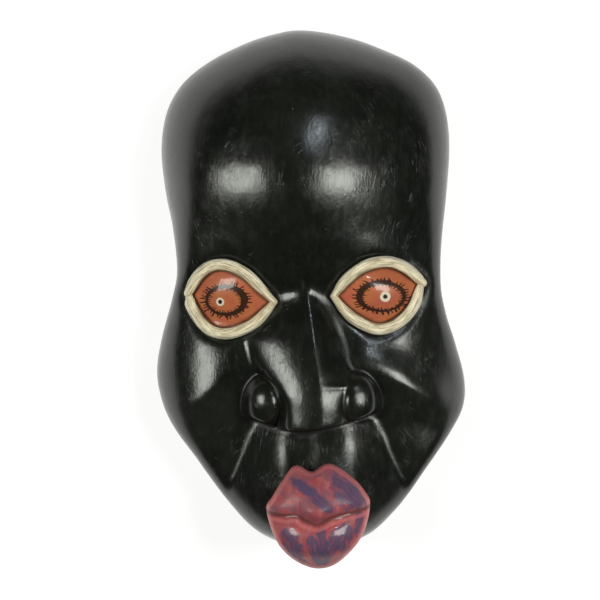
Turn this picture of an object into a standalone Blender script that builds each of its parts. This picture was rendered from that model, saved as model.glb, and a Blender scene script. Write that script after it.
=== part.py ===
"""A carved and painted wooden face mask, hollow behind, lying on its sawn back.

The frame is +X to the right of the face as seen, +Y to the crown and +Z out of the face.
The origin is in the middle of the mask's box, on the plane of the sawn back.

The mask is one piece of wood. Its forms are written as heights above the sawn back or as
distances in millimetres, less than nothing inside a form and more outside it. They are
joined as a carver would leave them, turned into one mesh, sawn flat behind and hollowed.

Places on the face are shares of the block that it is carved from: across from -1 (left edge)
to 1 (right edge), up from -1 (under the lips) to 1 (crown), and high from 0 (sawn back) to 1
(the front of the block).
"""

import itertools
import math

import bmesh
import bpy
import numpy as np
from mathutils import Matrix, Vector

MM = 0.001

# Size of the block that the mask fills.
WIDTH = 198.0
HEIGHT = 340.0
DEPTH = 104.0

# Thickness of the wood left round the hollow: at the sides, in front from chin to crown, and
# how much more behind the muzzle, which has a groove.
SIDE_WALL = 15.0
FRONT_WALL = [(-1.15, 11.0), (-0.45, 12.0), (-0.15, 14.0), (0.30, 15.0), (1.15, 16.0)]
MUZZLE_EXTRA_WALL = 5.0

# Width and rise of the lids, and the groove outside them.
LID_WIDTH = 7.6
LID_END_WIDTH = 4.4
LID_RISE = 4.4
LID_OVERLAP = 1.0
GROOVE_WIDTH = 3.8
GROOVE_DEPTH = 1.3
GROOVE_START = 0.3 * LID_WIDTH

# The eyeballs between the lids: half their width and height, how far they bulge, and how
# low they lie at most.
EYEBALL_HALF = (23.0, 15.0)
EYEBALL_BULGE = 5.0
EYEBALL_RECESS = 1.6
EYEBALL_LOWEST = -2.2

# Width and depth of the groove between nose and mouth, and of the line between the lips.
PHILTRUM_WIDTH = 15.0
PHILTRUM_DEPTH = 6.0
MOUTH_WIDTH = 8.0
MOUTH_DEPTH = 4.0
LIP_ROLL = 13.0
LIP_STEP = 6.0

# Radii of the hollows and edges where one form runs into the next.
HOLLOW_BLEND = 18.0
WING_BLEND = 2.6
FOOT_BLEND = 2.4
MUZZLE_BLEND = 3.0
CREASE_BLEND = 1.6

# The radius between nose and face, by how far above the nose's foot it is.
NOSE_BLEND = [
    (0.0, 2.4), (10.0, 3.0), (28.0, 3.6), (60.0, 6.0), (80.0, 12.0), (120.0, 20.0),
]

# Wood that the saw takes off behind, to leave the flat back.
SAW_ALLOWANCE = 6.0

# Mesh settings: the size of a carving cell, the cells that are first measured together, the
# distance round an eye or the lips within which they are worked out, and the faces kept.
CELL = 1.6
COARSE = 4
NEAR = 12.0
PARTING_ROUNDS = 6
OUTSIDE_FACES = 6800
HOLLOW_FACES = 1500

# The outline of the sawn back, clockwise from the crown.
OUTLINE = [
    (-0.050, 1.013), (0.227, 0.988), (0.466, 0.940), (0.682, 0.878), (0.828, 0.792),
    (0.892, 0.680), (0.905, 0.545), (0.881, 0.365), (0.848, 0.190), (0.843, 0.042),
    (0.880, -0.071), (0.946, -0.187), (1.002, -0.315), (0.994, -0.415), (0.903, -0.520),
    (0.745, -0.655), (0.579, -0.789), (0.391, -0.896), (0.192, -0.943), (-0.007, -0.952),
    (-0.190, -0.935), (-0.378, -0.878), (-0.556, -0.765), (-0.748, -0.614),
    (-0.915, -0.478), (-0.991, -0.360), (-1.004, -0.259), (-0.966, -0.142),
    (-0.902, -0.007), (-0.872, 0.098), (-0.900, 0.249), (-0.951, 0.399),
    (-0.979, 0.557), (-0.948, 0.696), (-0.845, 0.808), (-0.654, 0.897),
    (-0.437, 0.960), (-0.235, 0.999),
]

# Height of the face along its crest, from chin to crown, how far it falls to the sides and
# by which power, and where the crest is.
SPINE = [
    (-1.15, 0.46), (-0.85, 0.56), (-0.60, 0.60), (-0.40, 0.605), (-0.20, 0.605),
    (-0.05, 0.610), (0.05, 0.632), (0.13, 0.672), (0.22, 0.728), (0.32, 0.780),
    (0.43, 0.800), (0.54, 0.787), (0.67, 0.742), (0.80, 0.670), (0.95, 0.550),
    (1.15, 0.330),
]
FALL = [
    (-1.15, 0.20), (-0.65, 0.22), (-0.40, 0.31), (-0.20, 0.32), (0.00, 0.31),
    (0.08, 0.34), (0.16, 0.44), (0.27, 0.51), (0.43, 0.53), (0.80, 0.50), (1.15, 0.42),
]
FALL_POWER = [
    (-1.15, 2.0), (-0.55, 2.3), (-0.35, 2.9), (-0.10, 2.9), (0.05, 2.4), (0.20, 2.0),
    (1.15, 2.0),
]
CREST = [
    (-1.15, 0.0), (-0.60, -0.01), (-0.30, -0.06), (0.00, -0.07), (0.15, -0.12),
    (0.45, -0.14), (1.15, -0.12),
]

# How much the sides lean in, and the rounding in millimetres between side and front, which is
# sharper on the right side.
SIDE_DRAFT = [
    (-1.15, 0.14), (-0.62, 0.14), (-0.45, 0.18), (-0.30, 0.22), (0.00, 0.12),
    (0.20, 0.16), (0.50, 0.36), (1.15, 0.42),
]
EDGE_BLEND = [
    (-1.15, 12.0), (-0.62, 12.0), (-0.45, 15.0), (-0.25, 18.0), (0.00, 14.0),
    (0.20, 18.0), (0.50, 36.0), (1.15, 40.0),
]
RIGHT_SHARPER = 0.45
RIGHT_SIDE = (0.2, 0.8)
FRONT_STEEPNESS = 0.92

# The muzzle, a rounded prow under the nose: its middle, its top and half its width, the
# radius of its crown, the slope of its flanks and the rounding where they start.
MUZZLE_MIDDLE = 0.035
MUZZLE_TOP = [
    (-1.15, 0.40), (-1.00, 0.50), (-0.88, 0.62), (-0.78, 0.660), (-0.70, 0.655),
    (-0.64, 0.630), (-0.57, 0.575), (-0.50, 0.530), (-0.42, 0.500), (-0.25, 0.40),
    (0.10, 0.00), (1.15, 0.0),
]
MUZZLE_HALF = [
    (-1.15, 0.12), (-0.90, 0.22), (-0.78, 0.25), (-0.70, 0.22), (-0.64, 0.185),
    (-0.58, 0.165), (-0.516, 0.145), (-0.40, 0.13), (1.15, 0.13),
]
MUZZLE_RADIUS = 75.0
MUZZLE_FLANK = 0.80
MUZZLE_EDGE = 6.0

# The cheekbones: middle, rise in millimetres and spread.
CHEEKBONES = [((-0.72, -0.27), 4.0, (0.30, 0.18)), ((0.66, -0.26), 2.0, (0.30, 0.16))]

# The ridge under the right cheekbone.
CHEEK_RIDGE = [(0.42, -0.262), (0.52, -0.290), (0.64, -0.325), (0.78, -0.365)]
CHEEK_RIDGE_RISE = 3.0
CHEEK_RIDGE_WIDTH = 24.0

# The line below which the cheeks turn down, how steep they are there, how soon they level
# out again, and how soft the line is.
CHEEK_LINE = [
    (-1.10, -0.42), (-0.78, -0.370), (-0.557, -0.280), (-0.40, -0.250), (-0.20, -0.25),
    (0.10, -0.26), (0.38, -0.285), (0.56, -0.325), (0.76, -0.370), (1.10, -0.44),
]
CHEEK_SLOPE = 0.36
CHEEK_REACH = 40.0
CHEEK_SOFTNESS = 3.0

# The folds from the nose down past the mouth.
MOUTH_FOLDS = [
    [(-0.14, -0.50), (-0.215, -0.55), (-0.275, -0.60), (-0.335, -0.67), (-0.34, -0.75)],
    [(0.228, -0.499), (0.290, -0.545), (0.345, -0.620), (0.385, -0.70), (0.400, -0.77)],
]
FOLD_RISE = 1.2
FOLD_WIDTH = 16.0

# The nose's ridge from foot to root: where it is, how high, how round on its left in
# millimetres, how steep on its right, and how far each side reaches before its edge.
NOSE_MIDDLE = [
    (-0.60, 0.045), (-0.39, 0.045), (-0.31, 0.038), (-0.225, 0.024), (-0.14, 0.004),
    (-0.05, -0.020), (0.03, -0.036), (0.11, -0.050), (0.30, -0.050),
]
NOSE_HEIGHT = [
    (-0.60, 0.715), (-0.49, 0.722), (-0.385, 0.736), (-0.32, 0.728), (-0.25, 0.706),
    (-0.165, 0.668), (-0.078, 0.627), (-0.02, 0.600), (0.05, 0.595), (0.13, 0.595),
    (0.25, 0.56), (0.42, 0.30), (0.60, -0.30),
]
NOSE_LEFT_RADIUS = [
    (-0.60, 44.0), (-0.385, 48.0), (-0.27, 50.0), (-0.21, 62.0), (-0.15, 86.0),
    (-0.08, 96.0), (0.05, 90.0), (0.20, 50.0), (0.60, 30.0),
]
NOSE_RIGHT_SLOPE = [
    (-0.60, 0.37), (-0.36, 0.37), (-0.31, 0.50), (-0.25, 0.68), (-0.15, 0.72),
    (0.05, 0.72), (0.30, 0.72),
]
NOSE_LEFT_REACH = [(-0.60, 20.0), (-0.40, 20.5), (-0.34, 25.0), (-0.25, 38.0), (0.60, 38.0)]
NOSE_RIGHT_REACH = [(-0.60, 15.0), (-0.40, 16.0), (-0.34, 21.0), (-0.25, 30.0), (0.60, 30.0)]
NOSE_CREST_ROUND = 3.0
NOSE_EDGE_SLOPE = 2.0
NOSE_STEEPNESS = 0.80

# The wings of the nose: middle and half size of the oval, middle of the crown, and top.
WINGS = [
    ((-0.303, -0.395), (0.095, 0.080), (-0.212, -0.378), 0.675),
    ((0.305, -0.385), (0.100, 0.088), (0.165, -0.372), 0.690),
]
WING_RADIUS = 34.0
WING_WALL = 2.4
WING_EDGE = 3.0

# The line where the nose ends.
NOSE_FOOT = [
    (-0.60, -0.405), (-0.391, -0.449), (-0.177, -0.489), (0.003, -0.492), (0.239, -0.462),
    (0.388, -0.431), (0.60, -0.37),
]

# The frown line between the eyes.
FROWN = [(-0.045, 0.055), (-0.035, 0.00)]
FROWN_WIDTH = 3.6
FROWN_DEPTH = 2.2

# The eyes: the middle lines of the upper and lower lid, from the nose outward, and the
# middle of the eyeball.
LEFT_EYE = (
    [
        (-0.236, -0.022), (-0.318, 0.026), (-0.413, 0.079), (-0.526, 0.111),
        (-0.633, 0.109), (-0.716, 0.074), (-0.785, 0.010),
    ],
    [
        (-0.236, -0.022), (-0.290, -0.060), (-0.372, -0.104), (-0.507, -0.136),
        (-0.615, -0.132), (-0.697, -0.098), (-0.760, -0.040), (-0.775, -0.008),
    ],
    (-0.520, -0.010),
)
RIGHT_EYE = (
    [
        (0.140, -0.002), (0.187, 0.037), (0.256, 0.077), (0.351, 0.112), (0.458, 0.125),
        (0.541, 0.118), (0.623, 0.094), (0.712, 0.048),
    ],
    [
        (0.140, -0.002), (0.212, -0.055), (0.301, -0.095), (0.402, -0.121),
        (0.496, -0.115), (0.585, -0.084), (0.654, -0.033), (0.692, 0.030),
    ],
    (0.430, 0.000),
)

# The lips: their outline, the line between them, and heights along their middle.
LIPS = [
    (-0.283, -0.768), (-0.249, -0.735), (-0.183, -0.674), (-0.103, -0.618), (0.003, -0.640),
    (0.114, -0.611), (0.263, -0.665), (0.344, -0.721), (0.368, -0.760), (0.335, -0.846),
    (0.273, -0.907), (0.155, -0.975), (0.046, -0.994), (-0.053, -0.979), (-0.140, -0.945),
    (-0.211, -0.896), (-0.264, -0.824),
]
MOUTH = [
    (-0.30, -0.780), (-0.257, -0.786), (-0.177, -0.793), (-0.095, -0.791), (-0.053, -0.806),
    (0.015, -0.823), (0.052, -0.821), (0.108, -0.803), (0.200, -0.788), (0.296, -0.776),
    (0.38, -0.760),
]
LIP_SPINE = [
    (-1.05, 0.660), (-0.96, 0.800), (-0.88, 0.895), (-0.82, 0.915), (-0.76, 0.930),
    (-0.70, 0.880), (-0.62, 0.795), (-0.55, 0.74),
]
LIP_MIDDLE = 0.03
LIP_FALL = 1.15
LIP_STEEPNESS = 0.9
LIP_UNDERCUT = 0.80
LIP_UNDERCUT_HEIGHT = 0.66
LIP_SHAPES = [
    ((0.035, -0.770), 1.8, (0.090, 0.045)),
    ((-0.120, -0.755), -3.4, (0.060, 0.026)),
    ((0.165, -0.757), -2.6, (0.050, 0.022)),
]

# The groove between nose and mouth: its middle, and where its lower end rises.
PHILTRUM_MIDDLE = -0.025
PHILTRUM_END = (-0.70, -0.64)


def smooth_min(first, second, radius):
    """Join two forms, with a hollow of about the radius between them."""
    share = np.clip(0.5 + 0.5 * (second - first) / radius, 0.0, 1.0)
    return second + (first - second) * share - radius * share * (1.0 - share)


def smooth_max(first, second, radius):
    """Keep what two forms share, with a rounded edge of about the radius."""
    return -smooth_min(-first, -second, radius)


def soft_step(value, start, end):
    """Rise softly from 0 at start to 1 at end."""
    share = np.clip((value - start) / (end - start), 0.0, 1.0)
    return share * share * (3.0 - 2.0 * share)


def soft_over(value, softness):
    """Return how far values are over nothing, softly where they pass it."""
    return 0.5 * (value + np.hypot(value, softness))


def smooth_curve(points, closed=False, steps=6):
    """Return places along a smooth curve through the points."""
    points = np.asarray(points, dtype=float)
    if closed:
        padded = np.vstack([points[-1:], points, points[:2]])
    else:
        padded = np.vstack([2.0 * points[0] - points[1], points, 2.0 * points[-1] - points[-2]])
    step = np.linspace(0.0, 1.0, steps, endpoint=False)[:, None]
    pieces = []
    for a, b, c, d in zip(padded, padded[1:], padded[2:], padded[3:]):
        square = (2.0 * a - 5.0 * b + 4.0 * c - d) * step**2
        cube = (3.0 * b - a - 3.0 * c + d) * step**3
        pieces.append(0.5 * (2.0 * b + (c - a) * step + square + cube))
    if not closed:
        pieces.append(points[-1:])
    return np.vstack(pieces)


def on_face(points, closed=False):
    """Return a smooth curve through shares of the face, in millimetres."""
    return smooth_curve(points, closed) * (WIDTH / 2.0, HEIGHT / 2.0)


def read_profile(profile, place):
    """Read a smooth profile, given as (place, value) pairs, at many places."""
    curve = smooth_curve(profile, steps=48)
    return np.interp(place, curve[:, 0], curve[:, 1])


def bump(across, up, middle, spread):
    """Return a soft round swelling, 1 at its middle."""
    return np.exp(-(((across - middle[0]) / spread[0]) ** 2) - ((up - middle[1]) / spread[1]) ** 2)


def line_distance(x, y, line):
    """Return how far points are from a line, and how far along it, from 0 to 1, they are."""
    nearest = np.full(x.shape, np.inf)
    along = np.zeros(x.shape)
    for index, ((ax, ay), (bx, by)) in enumerate(zip(line[:-1], line[1:])):
        run_x = bx - ax
        run_y = by - ay
        share = ((x - ax) * run_x + (y - ay) * run_y) / (run_x**2 + run_y**2)
        share = np.clip(share, 0.0, 1.0)
        distance = np.hypot(x - ax - share * run_x, y - ay - share * run_y)
        closer = distance < nearest
        nearest[closer] = distance[closer]
        along[closer] = (index + share[closer]) / (len(line) - 1)
    return nearest, along


def is_near(x, y, line, margin=NEAR):
    """Tell which points are within a margin of the box round a line."""
    low = line.min(axis=0) - margin
    high = line.max(axis=0) + margin
    return (x > low[0]) & (x < high[0]) & (y > low[1]) & (y < high[1])


def line_ridge(x, y, line, width):
    """Return a soft ridge of a width along a line, 1 at its crest."""
    ridge = np.zeros(x.shape)
    near = is_near(x, y, line, 1.5 * width)
    distance, _ = line_distance(x[near], y[near], line)
    ridge[near] = np.exp(-((2.0 * distance / width) ** 2))
    return ridge


def loop_distance(x, y, loop):
    """Return how far points are outside a loop, less than nothing inside it."""
    closed = np.vstack([loop, loop[:1]])
    nearest, _ = line_distance(x, y, closed)
    inside = np.zeros(x.shape, dtype=bool)
    for (ax, ay), (bx, by) in zip(closed[:-1], closed[1:]):
        if ay == by:
            continue
        spans = (ay > y) != (by > y)
        inside ^= spans & (x < ax + (y - ay) * (bx - ax) / (by - ay))
    return np.where(inside, -nearest, nearest)


def outline_radius(x, y):
    """Return how far the outline is from the middle, in the direction of each point."""
    curve = on_face(OUTLINE, closed=True)
    angle = np.arctan2(curve[:, 1], curve[:, 0])
    order = np.argsort(angle)
    radius = np.hypot(curve[:, 0], curve[:, 1])[order]
    return np.interp(np.arctan2(y, x), angle[order], radius, period=2.0 * math.pi)


def cheek_height(across, up):
    """Return the height of the face and its cheeks, which turn down below their line."""
    aside = np.abs(across - read_profile(CREST, up)) ** read_profile(FALL_POWER, up)
    plain = (read_profile(SPINE, up) - read_profile(FALL, up) * aside) * DEPTH
    below = (read_profile(CHEEK_LINE, across) - up) * HEIGHT / 2.0
    below = soft_over(below, CHEEK_SOFTNESS)
    return plain - CHEEK_SLOPE * CHEEK_REACH * (1.0 - np.exp(-below / CHEEK_REACH))


def muzzle_height(across, up):
    """Return the height of the muzzle."""
    aside = np.abs(across - MUZZLE_MIDDLE) * WIDTH / 2.0
    over = soft_over(aside - read_profile(MUZZLE_HALF, up) * WIDTH / 2.0, MUZZLE_EDGE)
    crown = aside**2 / (2.0 * MUZZLE_RADIUS)
    return read_profile(MUZZLE_TOP, up) * DEPTH - crown - MUZZLE_FLANK * over


def base_height(across, up, less_muzzle=0.0):
    """Return the height of the face with its muzzle, or with a lower one."""
    muzzle = muzzle_height(across, up) - less_muzzle
    return smooth_max(cheek_height(across, up), muzzle, MUZZLE_BLEND)


def front_height(x, y):
    """Return the height of the face's front, without nose, eyes and lips."""
    across = x / (WIDTH / 2.0)
    up = y / (HEIGHT / 2.0)
    height = base_height(across, up)
    for middle, rise, spread in CHEEKBONES:
        height += rise * bump(across, up, middle, spread)
    height += CHEEK_RIDGE_RISE * line_ridge(x, y, on_face(CHEEK_RIDGE), CHEEK_RIDGE_WIDTH)
    for fold in MOUTH_FOLDS:
        height += FOLD_RISE * line_ridge(x, y, on_face(fold), FOLD_WIDTH)
    return height - FROWN_DEPTH * line_ridge(x, y, on_face(FROWN), FROWN_WIDTH)


def side_distance(x, y, z):
    """Return how far points are outside the mask's sides, which lean in towards the front."""
    up = y / (HEIGHT / 2.0)
    rise = np.clip(z / DEPTH, 0.0, None)
    draft = read_profile(SIDE_DRAFT, up) * rise**2
    return np.hypot(x, y) * (1.0 + draft) - outline_radius(x, y)


def face_distance(x, y, z):
    """Return how far points are outside the face without nose, eyes and lips."""
    blend = read_profile(EDGE_BLEND, y / (HEIGHT / 2.0))
    blend *= 1.0 - RIGHT_SHARPER * soft_step(x / (WIDTH / 2.0), *RIGHT_SIDE)
    front = FRONT_STEEPNESS * (z - front_height(x, y))
    return smooth_max(front, side_distance(x, y, z), blend)


def carve_eye(x, y, form, upper, lower, middle):
    """Carve an eye: a groove, the eyeball, and two lids that meet in its corners."""
    upper = on_face(upper)
    lower = on_face(lower)
    loop = np.vstack([upper, lower[-2:0:-1]])
    near = is_near(x, y, loop)
    x, y, face = x[near], y[near], form[near]
    inset = -loop_distance(x, y, loop)
    away = np.maximum(-inset - GROOVE_START, 0.0) / GROOVE_WIDTH
    aside = (x - middle[0] * WIDTH / 2.0) / EYEBALL_HALF[0]
    above = (y - middle[1] * HEIGHT / 2.0) / EYEBALL_HALF[1]
    ball = EYEBALL_BULGE * (1.0 - aside**2 - above**2) - EYEBALL_RECESS
    ball = np.maximum(ball, EYEBALL_LOWEST)
    carved = np.where(inset > 0.0, face - ball, face + GROOVE_DEPTH * np.exp(-(away**2)))
    for line, overlap in ((lower, 0.0), (upper, LID_OVERLAP)):
        distance, along = line_distance(x, y, line)
        full = soft_step(along, 0.0, 0.25) * (1.0 - soft_step(along, 0.9, 1.05))
        half = 0.5 * (LID_END_WIDTH + (LID_WIDTH - LID_END_WIDTH) * full)
        rise = LID_RISE + overlap * soft_step(along, 0.6, 1.0)
        lid = (np.hypot(distance / half, face / rise) - 1.0) * half
        carved = smooth_min(carved, lid, CREASE_BLEND)
    result = form.copy()
    result[near] = carved
    return result


def above_foot(x, y):
    """Return how far points are above the line where the nose ends."""
    return y - read_profile(NOSE_FOOT, x / (WIDTH / 2.0)) * HEIGHT / 2.0


def ridge_height(x, y):
    """Return the height of the nose's ridge, round on its left and steep on its right."""
    up = y / (HEIGHT / 2.0)
    aside = x - read_profile(NOSE_MIDDLE, up) * WIDTH / 2.0
    left = aside**2 / (2.0 * read_profile(NOSE_LEFT_RADIUS, up))
    right = np.hypot(aside, NOSE_CREST_ROUND) - NOSE_CREST_ROUND
    right *= read_profile(NOSE_RIGHT_SLOPE, up)
    reach = np.where(
        aside < 0.0, read_profile(NOSE_LEFT_REACH, up), read_profile(NOSE_RIGHT_REACH, up)
    )
    over = soft_over(np.abs(aside) - reach, NOSE_CREST_ROUND)
    fall = np.where(aside < 0.0, left, right) + NOSE_EDGE_SLOPE * over
    return read_profile(NOSE_HEIGHT, up) * DEPTH - fall


def wing_height(x, y, middle, half, crown, top):
    """Return the height of a wing: a low crown inside an oval, with steep walls round it."""
    across = x / (WIDTH / 2.0)
    up = y / (HEIGHT / 2.0)
    away = np.hypot((across - middle[0]) / half[0], (up - middle[1]) / half[1])
    over = soft_over((away - 1.0) * half[0] * WIDTH / 2.0, WING_EDGE)
    aside = x - crown[0] * WIDTH / 2.0
    above = y - crown[1] * HEIGHT / 2.0
    return top * DEPTH - (aside**2 + above**2) / (2.0 * WING_RADIUS) - WING_WALL * over


def nose_distance(x, y, z):
    """Return how far points are from the nose: ridge and wings, cut flat below."""
    top = ridge_height(x, y)
    for wing in WINGS:
        top = smooth_max(top, wing_height(x, y, *wing), WING_BLEND)
    return smooth_max(NOSE_STEEPNESS * (z - top), -above_foot(x, y), FOOT_BLEND)


def lip_distance(x, y, z):
    """Return how far points are from the lips, which stand out past the chin."""
    loop = on_face(LIPS, closed=True)
    result = np.full(x.shape, NEAR)
    near = is_near(x, y, loop)
    x, y, z = x[near], y[near], z[near]
    across = x / (WIDTH / 2.0)
    up = y / (HEIGHT / 2.0)
    outline = loop_distance(x, y, loop)
    top = (read_profile(LIP_SPINE, up) - LIP_FALL * (across - LIP_MIDDLE) ** 2) * DEPTH
    inset = np.clip(-outline / LIP_ROLL, 0.0, 1.0)
    top -= LIP_STEP * (1.0 - np.sqrt(1.0 - (1.0 - inset) ** 2))
    top -= MOUTH_DEPTH * line_ridge(x, y, on_face(MOUTH), MOUTH_WIDTH)
    for middle, rise, spread in LIP_SHAPES:
        top += rise * bump(across, up, middle, spread)
    side = outline + LIP_UNDERCUT * np.maximum(LIP_UNDERCUT_HEIGHT * DEPTH - z, 0.0)
    result[near] = smooth_max(LIP_STEEPNESS * (z - top), side, 2.0 * CREASE_BLEND)
    return result


def mask_distance(x, y, z):
    """Return how far points are outside the mask, before it is sawn and hollowed."""
    form = face_distance(x, y, z)
    for upper, lower, middle in (LEFT_EYE, RIGHT_EYE):
        form = carve_eye(x, y, form, upper, lower, middle)
    above = above_foot(x, y)
    form = smooth_min(form, nose_distance(x, y, z), read_profile(NOSE_BLEND, above))
    aside = x - PHILTRUM_MIDDLE * WIDTH / 2.0
    groove = np.exp(-((2.0 * aside / PHILTRUM_WIDTH) ** 2))
    groove *= soft_step(-above, -FOOT_BLEND, 2.0 * FOOT_BLEND)
    groove *= soft_step(y / (HEIGHT / 2.0), *PHILTRUM_END)
    form = smooth_min(form + PHILTRUM_DEPTH * groove, lip_distance(x, y, z), CREASE_BLEND)
    return np.maximum(form, -SAW_ALLOWANCE - z)


def hollow_distance(x, y, z):
    """Return how far points are outside the hollow, which leaves a wall all round."""
    across = x / (WIDTH / 2.0)
    up = y / (HEIGHT / 2.0)
    side = side_distance(x, y, z) + SIDE_WALL
    front = z - base_height(across, up, MUZZLE_EXTRA_WALL) + read_profile(FRONT_WALL, up)
    return np.maximum(smooth_max(side, front, HOLLOW_BLEND), -2.0 * SAW_ALLOWANCE - z)


def sample_grid(form, low, counts, cell):
    """Return a form's distances on a grid, exact only where its surface is near."""
    coarse_counts = [math.ceil(count / COARSE) for count in counts]
    coarse_cell = COARSE * cell
    middles = [low[axis] + coarse_cell * (np.arange(coarse_counts[axis]) + 0.5) for axis in range(3)]
    middles = np.meshgrid(*middles, indexing="ij")
    coarse = form(*(middle.ravel() for middle in middles)).reshape(coarse_counts)
    for axis in range(3):
        coarse = np.repeat(coarse, COARSE, axis=axis)
    values = coarse[: counts[0], : counts[1], : counts[2]].copy()
    near = np.argwhere(np.abs(values) < 1.25 * coarse_cell)
    values[tuple(near.T)] = form(*(low + near * cell).T)
    return values


def part_sheets(values, cell, rounds=PARTING_ROUNDS):
    """Change the few distances that would let two sheets of the surface touch in a cell."""
    for _ in range(rounds):
        for first, second in itertools.combinations(np.eye(3, dtype=int), 2):
            corners = np.array([0 * first, first, first + second, second])
            size = np.array(values.shape) - first - second
            windows = [tuple(slice(s, s + n) for s, n in zip(corner, size)) for corner in corners]
            a, b, c, d = (values[window] < 0.0 for window in windows)
            places = np.argwhere((a == c) & (b == d) & (a != b))
            if len(places) == 0:
                continue
            around = places[:, None, :] + corners[None, :, :]
            least = np.argmin(np.abs(values[tuple(np.moveaxis(around, 2, 0))]), axis=1)
            chosen = tuple(around[np.arange(len(places)), least].T)
            values[chosen] = np.where(values[chosen] < 0.0, 0.05, -0.05) * cell
    return values


def surface_net(values, low, cell):
    """Return vertices and four-sided faces on the surface where the distances are nothing."""
    inside = values < 0.0
    size = np.array(values.shape)
    corners = np.array(list(itertools.product((0, 1), repeat=3)))
    count = np.zeros(size - 1, dtype=int)
    for corner in corners:
        window = tuple(slice(start, start + length - 1) for start, length in zip(corner, size))
        count += inside[window]
    crossed = np.argwhere((count > 0) & (count < 8))
    number = np.full(size - 1, -1)
    number[tuple(crossed.T)] = np.arange(len(crossed))
    total = np.zeros((len(crossed), 3))
    weight = np.zeros(len(crossed))
    for start, end in itertools.combinations(corners, 2):
        if np.abs(end - start).sum() != 1:
            continue
        first = values[tuple((crossed + start).T)]
        second = values[tuple((crossed + end).T)]
        cuts = (first < 0.0) != (second < 0.0)
        share = first[cuts] / (first[cuts] - second[cuts])
        total[cuts] += start + share[:, None] * (end - start)
        weight[cuts] += 1.0
    vertices = low + cell * (crossed + total / weight[:, None])
    faces = []
    for axis in range(3):
        one, two = np.eye(3, dtype=int)[[(axis + 1) % 3, (axis + 2) % 3]]
        first = np.delete(inside, -1, axis)
        points = np.argwhere(first != np.delete(inside, 0, axis))
        shifts = (one + two, two, 0 * one, one)
        rings = np.stack([number[tuple((points - shift).T)] for shift in shifts], axis=1)
        inward = ~first[tuple(points.T)]
        rings[inward] = rings[inward, ::-1]
        faces.append(rings)
    return vertices, np.vstack(faces)


def settle(form, vertices, cell, rounds=3, probe=0.05):
    """Move vertices straight onto the form's surface."""
    for _ in range(rounds):
        distance = form(*vertices.T)
        steps = probe * np.eye(3)
        slope = np.stack([form(*(vertices + step).T) - distance for step in steps], axis=1) / probe
        steep = np.maximum(np.sum(slope**2, axis=1), 0.25)
        vertices = vertices - np.clip((distance / steep)[:, None] * slope, -cell / 2.0, cell / 2.0)
    return vertices


def new_object(name, vertices, faces):
    """Add an object with a smooth-shaded mesh, given in millimetres."""
    mesh = bpy.data.meshes.new(name)
    mesh.from_pydata((np.asarray(vertices) * MM).tolist(), [], np.asarray(faces).tolist())
    mesh.shade_smooth()
    item = bpy.data.objects.new(name, mesh)
    bpy.context.scene.collection.objects.link(item)
    return item


def carving_box():
    """Return the lowest corner of a box round all forms, and its cells along each side."""
    edges = np.vstack([on_face(OUTLINE, closed=True), on_face(LIPS, closed=True)])
    highest = max(height for _, height in SPINE + NOSE_HEIGHT + LIP_SPINE)
    margin = COARSE * CELL
    low = np.array([*edges.min(axis=0), -2.0 * SAW_ALLOWANCE]) - margin
    high = np.array([*edges.max(axis=0), highest * DEPTH]) + margin
    return low, np.ceil((high - low) / CELL).astype(int)


def carve(name, form, faces_kept):
    """Add an object with the surface of a form, brought down to few faces."""
    low, counts = carving_box()
    values = part_sheets(sample_grid(form, low, counts, CELL), CELL)
    vertices, faces = surface_net(values, low, CELL)
    item = new_object(name, settle(form, vertices, CELL), faces)
    fewer = item.modifiers.new("Fewer faces", "DECIMATE")
    fewer.ratio = min(1.0, faces_kept / (2.0 * len(faces)))
    return item


def centre(items, guide):
    """Move objects together, so that the middle of the guide's box is over the origin."""
    corners = np.array([vertex.co for vertex in guide.data.vertices])
    middle = 0.5 * (corners.min(axis=0) + corners.max(axis=0))
    for item in items:
        item.data.transform(Matrix.Translation((-middle[0], -middle[1], 0.0)))


def add_saw_block():
    """Add the block of wood that the saw takes off behind the mask."""
    mesh = bpy.data.meshes.new("Saw block")
    block = bmesh.new()
    bmesh.ops.create_cube(block, size=1.0)
    scale = Vector((2.0 * WIDTH, 2.0 * HEIGHT, 4.0 * SAW_ALLOWANCE)) * MM
    bmesh.ops.scale(block, vec=scale, verts=block.verts)
    bmesh.ops.translate(block, vec=(0.0, 0.0, -scale.z / 2.0), verts=block.verts)
    block.to_mesh(mesh)
    block.free()
    item = bpy.data.objects.new("Saw block", mesh)
    bpy.context.scene.collection.objects.link(item)
    return item


def cut(item, cutter):
    """Take a cutter's shape out of an object, and leave the cutter as a guide."""
    modifier = item.modifiers.new("Cut by " + cutter.name, "BOOLEAN")
    modifier.operation = "DIFFERENCE"
    modifier.object = cutter
    cutter.hide_render = True
    cutter.display_type = "WIRE"


def black_lacquer():
    """Return the mask's glossy black paint."""
    material = bpy.data.materials.new("Black lacquer")
    material.use_nodes = True
    shader = material.node_tree.nodes["Principled BSDF"]
    shader.inputs["Base Color"].default_value = (0.012, 0.012, 0.011, 1.0)
    shader.inputs["Roughness"].default_value = 0.22
    shader.inputs["Metallic"].default_value = 0.0
    return material


def main():
    """Carve the mask, saw its back flat and hollow it."""
    for item in list(bpy.data.objects):
        bpy.data.objects.remove(item, do_unlink=True)
    mask = carve("mask", mask_distance, OUTSIDE_FACES)
    hollow = carve("Hollow", hollow_distance, HOLLOW_FACES)
    centre((mask, hollow), mask)
    cut(mask, add_saw_block())
    cut(mask, hollow)
    mask.data.materials.append(black_lacquer())


main()
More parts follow.
